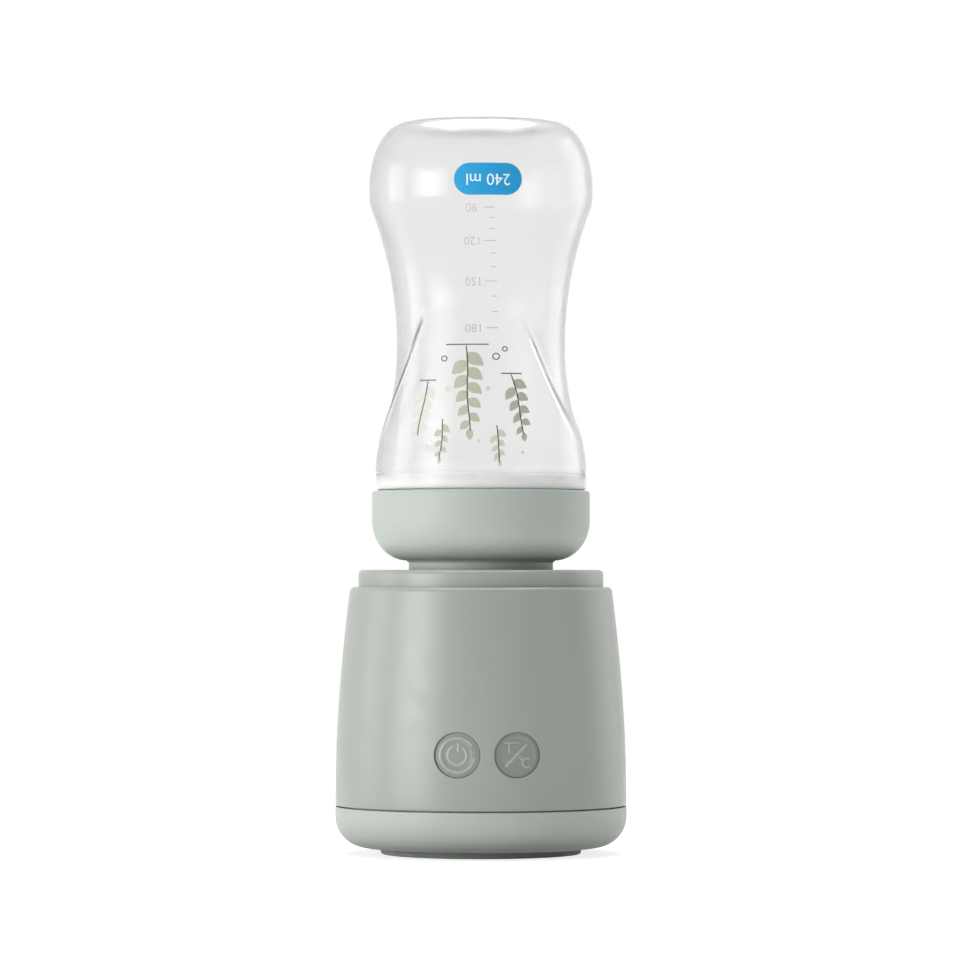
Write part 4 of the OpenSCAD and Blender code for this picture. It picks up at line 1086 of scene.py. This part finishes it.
def light_ring_mesh(m):
    """The milky ring in the power button's face, a little proud of it, with a round lens in its break."""
    x0, z0 = -m.button_spread, m.button_height
    ring_start, ring_end, steps = 32, 354, 90
    angles = np.radians(np.linspace(ring_start, ring_end, steps))
    points = [point for radius, depth in LIGHT_SECTION
              for point in face_ring(m, x0, z0, radius, depth, angles)]
    loops = loops_of(len(LIGHT_SECTION), len(angles))
    faces = lofted(loops + loops[:1], closed=False)
    faces += [tuple(loop[0] for loop in loops), tuple(loop[-1] for loop in reversed(loops))]
    ring = solid(points, faces, finish("light"))
    lens_angle, lens_top, lens_back = math.radians(10), -0.14, LENS_SECTION[-1][1]
    x1, z1 = x0 + LIGHT_RADIUS * math.cos(lens_angle), z0 + LIGHT_RADIUS * math.sin(lens_angle)
    rings = [face_ring(m, x1, z1, radius, depth, all_round(20)) for radius, depth in LENS_SECTION]
    tip, tail = ((x1, button_face(m, x1, z1, depth), z1) for depth in (lens_top, lens_back))
    points, faces = domed(tip, rings, tail)
    return joined([ring, solid(points, faces, finish("light"))])


def bead(path, width, height, seat):
    """A half-round raised line with round ends along (x, z) points. Seat gives the Y of the face under it."""
    rooted, smallest = 0.03, 0.02
    path = np.asarray(path, float)
    heading = headings(path)
    ends = np.radians((0, 30, 60))
    first, last = heading[0], heading[-1]
    spots = [(path[0] - first * width / 2 * math.cos(a), first, math.sin(a)) for a in ends]
    spots += [(p, h, 1.0) for p, h in zip(path, heading)]
    spots += [(path[-1] + last * width / 2 * math.cos(a), last, math.sin(a)) for a in ends[::-1]]
    around = np.linspace(0, math.pi, 7)
    points = []
    for spot, ahead, share in spots:
        size = max(share, smallest)
        for a in around:
            reach = width / 2 * math.cos(a) * size
            x, z = spot[0] + ahead[1] * reach, spot[1] - ahead[0] * reach
            points.append((x, seat(x, z) + rooted - (height + rooted) * math.sin(a) * size, z))
    loops = loops_of(len(spots), len(around))
    return points, lofted(loops) + [tuple(loops[0]), tuple(reversed(loops[-1]))]


def bead_mesh(strokes, height, seat):
    """Several raised lines, each a width and a path, as one mesh."""
    points, faces = [], []
    for width, path in strokes:
        more, quads = bead(path, width, height, seat)
        faces += [tuple(v + len(points) for v in quad) for quad in quads]
        points += more
    return outward(solid(points, faces, finish("symbol"), sharp=50))


def stroke(x0, z0, x1, z1, steps=9):
    """Points of a straight line."""
    return np.stack([np.linspace(x0, x1, steps), np.linspace(z0, z1, steps)], axis=1)


def power_symbol_mesh(m):
    """The open ring with a bar, the usual sign for power."""
    x, z = -m.button_spread, m.button_height
    depth = POWER_RELIEF[0][1]
    strokes = [(0.95, arc((x, z), 2.9, 118, 408, 39)), (0.9, stroke(x + 0.3, z + 1.4, x + 0.5, z + 3.5))]
    return bead_mesh(strokes, 0.16, lambda a, b: button_face(m, a, b, depth))


def degree_symbol_mesh(m):
    """The sign for temperature in degrees: a letter, a slash and a unit."""
    x, z = m.button_spread, m.button_height
    depth = DEGREE_RELIEF[0][1]
    strokes = [
        (0.6, stroke(x - 4.0, z + 3.9, x + 0.8, z + 3.9)), (0.6, stroke(x - 2.4, z + 3.8, x - 2.4, z + 0.9)),
        (1.0, stroke(x - 3.4, z - 3.3, x + 3.1, z + 3.3)), (0.5, arc((x + 1.4, z - 0.8), 0.5, 0, 340, 15)),
        (0.65, arc((x + 3.1, z - 2.4), 1.4, 55, 305, 23))]
    return bead_mesh(strokes, 0.18, lambda a, b: button_face(m, a, b, depth))


# Charging socket


def socket_shell_mesh(m):
    """The socket's drawn steel shell, open to the back of the body."""
    steps = 48
    # inset and place along Y of each ring
    rings = [(0.6, -6.4), (0.6, -0.08), (0.3, 0.0), (0.08, -0.06), (0.0, -0.3), (0.0, -7.4)]
    points = []
    for inset, y in rings:
        edge = stadium_edge(m.socket_width - inset, m.socket_height - inset)
        for a in all_round(steps):
            across, up = math.cos(a), math.sin(a)
            reach = edge(across, up)
            points.append((reach * across, m.socket_face + y, m.socket_level + reach * up))
    loops = loops_of(len(rings), steps)
    faces = lofted(loops) + [tuple(reversed(loops[0])), tuple(loops[-1])]
    return outward(solid(points, faces, finish("steel")))


def socket_tongue_mesh(m):
    """The tongue in the socket, with its edges taken off."""
    size = Vector((m.socket_width - 2.6, 5.4, 0.7)) * MM
    place = Vector((0, m.socket_face - 3.7, m.socket_level)) * MM
    bm = bmesh.new()
    made = bmesh.ops.create_cube(bm, size=1.0)
    bmesh.ops.scale(bm, verts=made["verts"], vec=size)
    bmesh.ops.translate(bm, verts=made["verts"], vec=place)
    bmesh.ops.bevel(bm, geom=bm.edges[:], offset=0.12 * MM, segments=2, affect="EDGES", profile=0.5)
    tongue = bpy.data.meshes.new("tongue")
    bm.to_mesh(tongue)
    bm.free()
    tongue.materials.append(finish("black"))
    return tongue


def socket_contacts_mesh(m):
    """Rows of contacts on both sides of the tongue."""
    behind_face, from_middle = 3.4, 0.33
    rows = []
    for side in (-1, 1):
        row = grow(contact_growth, finish("gilt"), Count=12, Pitch=0.5, Width=0.26, Length=4.2, Height=0.12)
        for vertex in row.vertices:
            vertex.co += Vector((0, m.socket_face - behind_face, m.socket_level + side * from_middle)) * MM
        rows.append(row)
    return joined(rows)


# Bottle


def s_curve(z, first, last, share):
    """Radius along two arcs that meet smoothly and stand upright at both ends."""
    across, rise = last[0] - first[0], last[1] - first[1]
    total = (rise * rise + across * across) / (2 * abs(across))
    r0, r1 = share * total, (1 - share) * total
    side = math.copysign(1, across)
    from_first, to_last = np.clip(z - first[1], 0, r0), np.clip(last[1] - z, 0, r1)
    early = first[0] + side * (r0 - np.sqrt(r0 * r0 - from_first ** 2))
    late = last[0] - side * (r1 - np.sqrt(r1 * r1 - to_last ** 2))
    return np.where(z - first[1] <= r0 * rise / total, early, late)


def bottle_side(m, z):
    """Radius of the bottle's round side at a height."""
    barrel_share, waist_share = 0.24, 0.91
    barrel = (m.barrel_radius, m.barrel_level)
    waist = (m.waist_radius, m.waist_level)
    belly = (m.belly_radius, m.belly_level)
    z = np.asarray(z, float)
    lower, upper = s_curve(z, barrel, waist, barrel_share), s_curve(z, waist, belly, waist_share)
    side = np.where(z < waist[1], lower, upper)
    return np.where(z < barrel[1], barrel[0], np.where(z > belly[1], belly[0], side))


def panel_bulge(m, around, z):
    """How far the grip panels at the front and the back stand out from the round side."""
    low, high, lean = m.barrel_level, m.panel_level, m.panel_lean
    cone = m.barrel_radius + (m.panel_radius - m.barrel_radius) * (z - low) / (high - low)
    stand = np.clip(cone - bottle_side(m, z), 0, None)
    across = np.abs(cone * np.sin(around))
    join_x = m.arch_radius * math.cos(lean)
    join_z = m.arch_level + m.arch_radius * math.sin(lean)
    in_arch = m.arch_radius - np.hypot(across, z - m.arch_level)
    in_sides = (join_x + (join_z - z) * math.tan(lean) - across) * math.cos(lean)
    inside = np.clip(np.where(z > join_z, in_arch, in_sides) / (2 * m.crease) + 0.5, 0, 1)
    share = inside * inside * (3 - 2 * inside)
    return np.where((z > low) & (z < high), stand * share, 0.0)


def bottle_mesh(m):
    """The blown bottle, mouth down: outer and inner wall, grip panels, flat end with a shallow hollow."""
    w, foot, top, mouth = m.bottle_wall, m.bottle_foot, m.bottle_top, m.bottle_mouth
    barrel, barrel_inside, mouth_inside = m.barrel_radius, m.barrel_radius - w, m.mouth_radius - m.mouth_wall
    rise, belly = top - m.end_level, m.belly_radius - m.flat_radius
    heights = np.linspace(m.barrel_level, m.belly_level, 98)
    side = list(zip(bottle_side(m, heights), heights))
    end_middle = (m.flat_radius, m.end_level)
    outline = [(0, top - m.bottle_end)]
    outline += arc(end_middle, (belly - w, rise - m.bottle_end), 90, 0, 18)
    outline += [(r - w, z) for r, z in side[::-1]]
    outline += filleted([
        (barrel_inside, m.barrel_level, 0), (barrel_inside, foot + w, 1.4), (mouth_inside, foot + w, 1.0),
        (mouth_inside, mouth, 0.6), (m.mouth_radius, mouth, 0.6), (m.mouth_radius, foot, 0.5),
        (barrel, foot, 0.8), (barrel, m.barrel_level, 0)], closed=False)[1:-1]
    outline += side
    outline += arc(end_middle, (belly, rise), 0, 90, 18)
    slope, hollow = 2 * m.hollow_depth, top - m.hollow_depth
    outline += filleted([
        (m.flat_radius, top, 0), (m.hollow_radius, top, slope), (m.hollow_radius - slope, hollow, slope),
        (0, hollow, 0)], closed=False)[1:]
    points, faces = turned(outline, 256, closed=False, turn=m.bottle_turn,
                           bulge=lambda around, z: panel_bulge(m, around, z))
    wall = solid(points, faces, finish("bottle"), sharp=45)
    return joined([wall, thread_mesh(m, "bottle", m.mouth_radius, m.mouth_lead, m.mouth_thread)])


# Print on the bottle

PATCH_SIZE = (21.5, 10.0)
PATCH_PLACE = (6.6, 211.6)
PATCH_NUMBER = 3.6  # height of its digits
CAP_HEIGHT = 0.7  # height of a digit as a share of the type's size
SPRIGS = (  # place across and up, turn from straight down, stem, leaves, size of the leaves, ink
    (-1.0, 160.0, 0.05, 26.0, 11, 1.0, "khaki"),
    (-12.5, 149.0, -0.25, 17.0, 9, 0.72, "sage"),
    (12.0, 151.0, 0.28, 19.0, 9, 0.78, "khaki"),
    (-8.0, 137.0, -0.1, 12.0, 7, 0.55, "khaki"),
    (8.5, 135.0, 0.12, 11.0, 7, 0.55, "sage"),
)
GROUND_LINES = ((-7.0, 5.5, 160.4), (-15.5, -9.8, 149.3), (9.0, 15.2, 151.3))  # from and to across, height
PRINT_RINGS = ((7.6, 156.6, 0.95), (10.2, 159.0, 0.7), (-7.4, 156.0, 0.8))  # place across and up, radius
DOTS = ((-15.5, 141), (-14.0, 128.5), (-3.6, 124.8), (3.2, 130.2), (15.2, 138.5), (17.4, 126.6), (5.4, 146.5),
        (-6.2, 146.5), (-17.6, 125.2), (9.2, 125.4))
SCALE_RANGE = (90, 181)  # millilitres from and up to
SCALE_END = 8.4  # place across of the marks' right ends
NUMBER_PLACE = 1.2


def on_bottle(m, across, z, lift):
    """Points on the bottle's front, from distances across its front panel and heights."""
    across, z = np.asarray(across, float), np.asarray(z, float)
    turn = across / bottle_side(m, z)
    reach = bottle_side(m, z) + panel_bulge(m, turn, z) + lift
    return np.stack([reach * np.sin(turn + m.bottle_turn), -reach * np.cos(turn + m.bottle_turn), z], axis=1)


def wrapped(m, mesh, across, z, turn=0.0, layer=1):
    """Lays a flat mesh, made about its own origin in metres, on the bottle."""
    co = np.array([v.co for v in mesh.vertices]) / MM
    c, s = math.cos(turn), math.sin(turn)
    spots = on_bottle(m, across + c * co[:, 0] - s * co[:, 1], z + s * co[:, 0] + c * co[:, 1],
                      layer * m.print_lift)
    mesh.vertices.foreach_set("co", (spots * MM).astype(np.float32).ravel())
    mesh.shade_smooth()
    mesh.update()
    return mesh


def ribbon(path, width):
    """A flat inked line of even width along (x, y) points."""
    path = np.asarray(path, float)
    heading = headings(path)
    off = np.stack([-heading[:, 1], heading[:, 0]], axis=1) * width / 2
    points = [(x, y, 0.0) for pair in zip(path - off, path + off) for x, y in pair]
    faces = [(2 * k, 2 * k + 2, 2 * k + 3, 2 * k + 1) for k in range(len(path) - 1)]
    return solid(points, faces, finish("ink"))


def pill(width, height, material):
    """A flat pill shape as a grid of rows. No row is shorter than twice the least reach."""
    columns, r, least = 25, height / 2, 0.01
    rows = r * np.sin(np.linspace(-math.pi / 2, math.pi / 2, 17))
    points = []
    for y in rows:
        reach = width / 2 - r + math.sqrt(max(0.0, r * r - y * y)) + least
        points += [(x * reach, y, 0.0) for x in np.linspace(-1, 1, columns)]
    return solid(points, lofted(loops_of(len(rows), columns), closed=False), material)


def lettering(words, size, material):
    """Flat generic lettering as a mesh about its own middle, in metres."""
    curve = bpy.data.curves.new("lettering", "FONT")
    curve.body, curve.size = words, size * MM / CAP_HEIGHT
    curve.align_x, curve.align_y = "CENTER", "CENTER"
    curve.resolution_u = 4
    holder = placed("lettering", curve)
    mesh = plain_mesh(holder)
    bpy.data.objects.remove(holder)
    bpy.data.curves.remove(curve)
    mesh.materials.clear()
    mesh.materials.append(material)
    bm = bmesh.new()
    bm.from_mesh(mesh)
    bmesh.ops.remove_doubles(bm, verts=bm.verts, dist=1e-6)
    bmesh.ops.triangulate(bm, faces=bm.faces)
    bm.to_mesh(mesh)
    bm.free()
    return mesh


def fill_heights(m, volumes):
    """Heights of the liquid's surface for volumes in millilitres, with the bottle on its flat end."""
    z = np.linspace(m.bottle_top - m.bottle_end, m.barrel_level, 800)
    over = np.clip((z - m.end_level) / (m.bottle_top - m.end_level - m.bottle_end), 0, 1)
    end = m.flat_radius + (m.belly_radius - m.bottle_wall - m.flat_radius) * np.sqrt(1 - over ** 2)
    area = math.pi * np.where(over > 0, end, bottle_side(m, z) - m.bottle_wall) ** 2
    filled = np.concatenate([[0], np.cumsum((area[1:] + area[:-1]) / 2 * -np.diff(z))]) / 1000
    return np.interp(volumes, filled, z)


def print_leaves(m):
    """Leaf sprigs around the lower half of the front, tips towards the mouth: leaves by ink, and stems."""
    width_share, leaf_lean = 0.62, 0.85
    stem_end, sway, sway_rate = 0.6, 0.25, 0.3
    leaves, stems = {"sage": [], "khaki": []}, []
    for across, z, lean, stem, count, size, ink in SPRIGS:
        turn = lean - math.pi / 2
        blade = grow(sprig_growth, finish(ink), Leaves=count, Stem=stem, Length=m.leaf_length * size,
                     Width=m.leaf_length * size * width_share, Lean=leaf_lean)
        leaves[ink].append(wrapped(m, blade, across, z, turn))
        reach = np.linspace(0, stem + stem_end, 30)
        line = ribbon(np.stack([reach, sway * np.sin(reach * sway_rate)], axis=1), m.print_line)
        stems.append(wrapped(m, line, across, z, turn, layer=2))
    return leaves, stems


def print_lines(m):
    """Fine dark ground lines at the feet of the sprigs, and small open rings."""
    lines = []
    for x0, x1, z in GROUND_LINES:
        line = ribbon(stroke(x0, 0, x1, 0, 16), m.print_line)
        lines.append(wrapped(m, line, 0, z, layer=2))
    for across, z, radius in PRINT_RINGS:
        loop = ribbon(arc((0, 0), radius, 0, 360, 27), m.print_line - 0.02)
        lines.append(wrapped(m, loop, across, z, layer=2))
    return lines


def print_dots(m):
    """Small dots scattered between the sprigs."""
    spots = [(across, z, 0) for across, z in DOTS]
    dots = grow(dot_growth, finish("sage"), points=spots, Radius=0.75, Spread=0.45, Seed=7)
    return wrapped(m, dots, 0, 0)


def print_scale(m):
    """Scale marks every 10 ml, with numbers every 30 ml that read with the bottle upright."""
    pieces = []
    for step, size in ((10, 1.8), (30, 3.6)):
        heights = fill_heights(m, range(*SCALE_RANGE, step))
        points = [(SCALE_END - size / 2, float(z), 0.0) for z in heights]
        marks = grow(bar_growth, finish("pale_ink"), points=points, Length=size, Width=0.26)
        pieces.append(wrapped(m, marks, 0, 0))
    volumes = range(*SCALE_RANGE, 30)
    for volume, z in zip(volumes, fill_heights(m, volumes)):
        words = lettering(str(volume), m.scale_size, finish("pale_ink"))
        pieces.append(wrapped(m, words, NUMBER_PLACE, float(z), math.pi))
    return pieces


# Operators


class BodyShellOperator(Operator):
    """Builds the body shell with its button holes and the slot for charging"""

    bl_idname = "warmer.body_shell"
    bl_label = "Body shell"

    def execute(self, context):
        piece("body_shell_wall", shell_mesh(measures()), "warmer", "shell_plastic", "body_shell")
        return {"FINISHED"}


class BaseOperator(Operator):
    """Builds the base cup and the rubber foot ring"""

    bl_idname = "warmer.base"
    bl_label = "Base cup and foot"

    def execute(self, context):
        m = measures()
        piece("base_cup_moulding", base_cup_mesh(m), "warmer", "cup_plastic", "base_cup")
        piece("foot_ring_rubber", foot_ring_mesh(m), "warmer", "foot_rubber", "foot_ring")
        return {"FINISHED"}


class CollarOperator(Operator):
    """Builds the top collar and the heating pan in its well"""

    bl_idname = "warmer.collar"
    bl_label = "Collar and heating pan"

    def execute(self, context):
        m = measures()
        piece("top_collar_step", collar_mesh(m), "warmer", "shell_plastic", "top_collar")
        piece("heating_pan_steel", pan_mesh(m), "warmer", "steel", "heating_pan")
        return {"FINISHED"}


class ButtonsOperator(Operator):
    """Builds both buttons, their raised symbols and the light ring"""

    bl_idname = "warmer.buttons"
    bl_label = "Buttons"

    def execute(self, context):
        m = measures()
        cap = button_mesh(m, -1, POWER_RELIEF, finish("button"))
        piece("power_button_cap", cap, "power_button", "button_plastic", "power_button")
        piece("power_light_ring", light_ring_mesh(m), "power_button", "light_plastic", "light_ring")
        piece("power_symbol", power_symbol_mesh(m), "power_button", "button_plastic")
        # the temperature button's cap takes the button plastic painted darker, as painted shade
        cap = button_mesh(m, 1, DEGREE_RELIEF, finish("button_dark"))
        piece("temperature_button_cap", cap, "temperature_button", "button_plastic", "temperature_button")
        piece("degree_symbol", degree_symbol_mesh(m), "temperature_button", "button_plastic")
        return {"FINISHED"}


class ChargingSocketOperator(Operator):
    """Builds the charging socket at the back"""

    bl_idname = "warmer.charging_socket"
    bl_label = "Charging socket"

    def execute(self, context):
        m = measures()
        piece("charging_socket_shell", socket_shell_mesh(m), "warmer", "steel", "usb_socket")
        piece("charging_socket_tongue", socket_tongue_mesh(m), "warmer", "black_plastic")
        piece("charging_socket_contacts", socket_contacts_mesh(m), "warmer", "steel")
        return {"FINISHED"}


class AdapterOperator(Operator):
    """Builds the screw-in adapter and the seals at its two ends"""

    bl_idname = "warmer.adapter"
    bl_label = "Adapter and seals"

    def execute(self, context):
        piece("adapter_bowl", adapter_mesh(measures()), "adapter", "cup_plastic", "adapter")
        gasket = seal_mesh("adapter_gasket", width=3.95)
        piece("adapter_gasket_ring", gasket, "adapter_gasket", "silicone", "adapter_gasket")
        seal = seal_mesh("mouth_seal", width=3.85)
        piece("mouth_seal_ring", seal, "mouth_seal", "silicone", "mouth_seal")
        return {"FINISHED"}


class BottleOperator(Operator):
    """Builds the clear bottle"""

    bl_idname = "warmer.bottle"
    bl_label = "Bottle"

    def execute(self, context):
        piece("bottle_wall", bottle_mesh(measures()), "bottle", "bottle_plastic", "bottle")
        return {"FINISHED"}


class BottlePrintOperator(Operator):
    """Lays the print on the bottle: leaves, lines, dots, scale and patch"""

    bl_idname = "warmer.bottle_print"
    bl_label = "Bottle print"

    def execute(self, context):
        m = measures()
        leaves, stems = print_leaves(m)
        for ink, meshes in leaves.items():
            piece(f"print_{ink}_leaves", joined(meshes), "bottle", "bottle_plastic")
        piece("print_lines", joined(stems + print_lines(m)), "bottle", "bottle_plastic")
        piece("print_dots", print_dots(m), "bottle", "bottle_plastic")
        piece("print_scale", joined(print_scale(m)), "bottle", "bottle_plastic")
        patch = wrapped(m, pill(*PATCH_SIZE, finish("blue")), *PATCH_PLACE)
        piece("print_patch", patch, "bottle", "bottle_plastic")
        number = lettering("240 ml", PATCH_NUMBER, finish("white"))
        number = wrapped(m, number, *PATCH_PLACE, math.pi, layer=2)
        piece("print_patch_number", number, "bottle", "bottle_plastic")
        return {"FINISHED"}


INNER_FINISHES = {
    "pan_gasket": "silicone", "heater_disc": "heater", "insulation_disc": "insulation", "pan_clamp": "black",
    "clamp_screws": "steel", "collar_screws": "steel", "base_screws": "steel", "temperature_sensor": "black",
    "sensor_lead": "white_lead", "thermal_fuse": "insulation", "heater_leads": "red_lead",
    "battery_cells": "cells", "left_cell_holder": "black", "right_cell_holder": "black",
    "cell_links": "steel", "main_board": "board", "board_parts": "black", "board_screws": "steel",
    "button_board": "board", "button_board_screws": "steel", "switch_housings": "black",
    "indicator_lights": "light", "board_ribbon": "white_lead", "power_stem": "white_lead",
    "temperature_stem": "white_lead",
}


class InnerPartsOperator(Operator):
    """Gives the inner pieces their finishes"""

    bl_idname = "warmer.inner_parts"
    bl_label = "Inner parts"

    def execute(self, context):
        for name, obj in frame["nodes"].items():
            if obj.hide_render:
                continue
            obj.data.materials.clear()
            obj.data.materials.append(finish(INNER_FINISHES[name]))
        return {"FINISHED"}


# Stage

FLOOR_RADIUS = 900  # millimetres
FLOOR_SIDES = 96
DARK_FLOOR, LIT_FLOOR = 0.046, 0.066  # metres from the axis, between which the floor starts to give light
WORLD_LIGHT = 0.17
LIGHT_AIM = Vector((0, 0, 0.11))
SOFTBOXES = (  # name, azimuth in degrees, height, distance, width and length in metres, power in watts
    ("left_softbox_0", -57, 0.14, 1.2, 0.3, 0.6, 1.6),
    ("left_softbox_1", -57, 0.14, 1.21, 0.62, 0.7, 3.9),
    ("left_softbox_2", -57, 0.14, 1.22, 0.95, 0.8, 6.4),
    ("far_left_softbox", -100, 0.14, 1.2, 0.5, 0.8, 2.9),
    ("top_softbox", 180, 1.25, 0.15, 1.0, 0.9, 20.0),
    ("front_softbox", -6, 0.03, 1.8, 1.4, 0.4, 1.2),
    ("right_softbox", 62, 0.12, 1.4, 0.6, 1.0, 1.2),
    ("rim_softbox", 118, 0.3, 1.2, 0.7, 1.2, 2.4),
)
CAMERA_PLACE = (-2.5, 1.5, 0.0875)  # azimuth in degrees, distance and height in metres
CAMERA_AIM = Vector((-0.0003, 0, 0.1186))
CAMERA_LENS = 176.9  # millimetres, on a sensor 36 mm wide


def seen_ray(graph):
    """1 for rays that look at the scene: from the camera, off gloss or through the clear bottle."""
    ray = graph.node("ShaderNodeLightPath").outputs
    looks = graph.math("MAXIMUM", ray["Is Camera Ray"], ray["Is Glossy Ray"])
    return graph.math("MAXIMUM", looks, ray["Is Transmission Ray"])


def floor_material():
    """Floor that looks white and keeps soft shadows, and that lights the object from a little way off."""
    material = bpy.data.materials.new("studio_floor")
    material.use_nodes = True
    g = Graph(material.node_tree)
    g.tree.nodes.clear()
    place = g.node("ShaderNodeTexCoord").outputs["Object"]
    away = g.node("ShaderNodeVectorMath", {0: place}, operation="LENGTH").outputs["Value"]
    lit = g.node("ShaderNodeMapRange", {0: away, 1: DARK_FLOOR, 2: LIT_FLOOR, 3: 0.0, 4: 1.0}).outputs[0]
    matte = g.node("ShaderNodeBsdfDiffuse", {"Color": (0.2, 0.2, 0.2, 1)}).outputs[0]
    bounce = g.node("ShaderNodeEmission", {"Color": (1, 1, 1, 1), "Strength": lit}).outputs[0]
    plain = g.node("ShaderNodeAddShader", {0: matte, 1: bounce}).outputs[0]
    glow = g.node("ShaderNodeEmission", {"Color": (1, 1, 1, 1), "Strength": 0.8}).outputs[0]
    shade = g.node("ShaderNodeBsdfDiffuse", {"Color": (0.42, 0.42, 0.42, 1)}).outputs[0]
    shown = g.node("ShaderNodeAddShader", {0: glow, 1: shade}).outputs[0]
    mix = g.node("ShaderNodeMixShader", {0: seen_ray(g), 1: plain, 2: shown}).outputs[0]
    g.node("ShaderNodeOutputMaterial", {"Surface": mix})
    return material


def white_world(strength):
    """Soft light from all round that shows as white."""
    world = bpy.data.worlds.new("studio")
    world.use_nodes = True
    g = Graph(world.node_tree)
    g.tree.nodes.clear()
    light = g.node("ShaderNodeBackground", {"Color": (1, 1, 1, 1), "Strength": strength}).outputs[0]
    shown = g.node("ShaderNodeBackground", {"Color": (1, 1, 1, 1), "Strength": 1.0}).outputs[0]
    mix = g.node("ShaderNodeMixShader", {0: seen_ray(g), 1: light, 2: shown}).outputs[0]
    g.node("ShaderNodeOutputWorld", {"Surface": mix})
    return world


def stand(obj, azimuth, distance, height, aim):
    """Puts a light or the camera round the object, turned to its aim.

    Azimuth is in degrees from the front, towards +X."""
    a = math.radians(azimuth)
    obj.location = (distance * math.sin(a), -distance * math.cos(a), height)
    obj.rotation_euler = (aim - obj.location).to_track_quat("-Z", "Y").to_euler()


class StageOperator(Operator):
    """Builds the floor, the lights and the camera"""

    bl_idname = "warmer.stage"
    bl_label = "Stage"

    def execute(self, context):
        scene = context.scene
        points = [(FLOOR_RADIUS * math.sin(a), FLOOR_RADIUS * math.cos(a), 0.0)
                  for a in all_round(FLOOR_SIDES)]
        face = tuple(reversed(range(FLOOR_SIDES)))
        ground = placed("studio_floor", solid(points, [face], floor_material()))
        scene.world = white_world(WORLD_LIGHT)
        for name, azimuth, height, distance, wide, high, power in SOFTBOXES:
            light = bpy.data.lights.new(name, "AREA")
            light.shape, light.size, light.size_y, light.energy = "RECTANGLE", wide, high, power
            stand(placed(name, light), azimuth, distance, height, LIGHT_AIM)
        lens = bpy.data.cameras.new("camera")
        lens.lens, lens.sensor_width, lens.sensor_fit = CAMERA_LENS, 36.0, "HORIZONTAL"
        scene.camera = placed("camera", lens)
        stand(scene.camera, *CAMERA_PLACE, CAMERA_AIM)
        scene.view_settings.view_transform = "Standard"
        return {"FINISHED"}


OPERATORS = (
    BodyShellOperator, BaseOperator, CollarOperator, ButtonsOperator, ChargingSocketOperator, AdapterOperator,
    BottleOperator, BottlePrintOperator, InnerPartsOperator, StageOperator,
)


class WarmerPanel(Panel):
    """Lists the steps that build the warmer, and its sizes and colours"""

    bl_idname = "VIEW3D_PT_warmer"
    bl_label = "Bottle warmer"
    bl_space_type = "VIEW_3D"
    bl_region_type = "UI"
    bl_category = "Warmer"

    def draw(self, context):
        column = self.layout.column()
        for operator in OPERATORS:
            column.operator(operator.bl_idname)
        for group in (context.scene.warmer_sizes, context.scene.warmer_colours):
            box = self.layout.box()
            for key in group.__annotations__:
                box.prop(group, key)


CLASSES = (WarmerSizes, WarmerColours) + OPERATORS + (WarmerPanel,)


def register():
    for cls in CLASSES:
        bpy.utils.register_class(cls)
    bpy.types.Scene.warmer_sizes = PointerProperty(type=WarmerSizes)
    bpy.types.Scene.warmer_colours = PointerProperty(type=WarmerColours)


def unregister():
    del bpy.types.Scene.warmer_colours
    del bpy.types.Scene.warmer_sizes
    for cls in reversed(CLASSES):
        bpy.utils.unregister_class(cls)


def main():
    """Registers the classes and builds every piece in order."""
    register()
    for step in ("body_shell", "base", "collar", "buttons", "charging_socket", "adapter", "bottle",
                 "bottle_print", "inner_parts", "stage"):
        getattr(bpy.ops.warmer, step)()


if __name__ == "__main__":
    main()
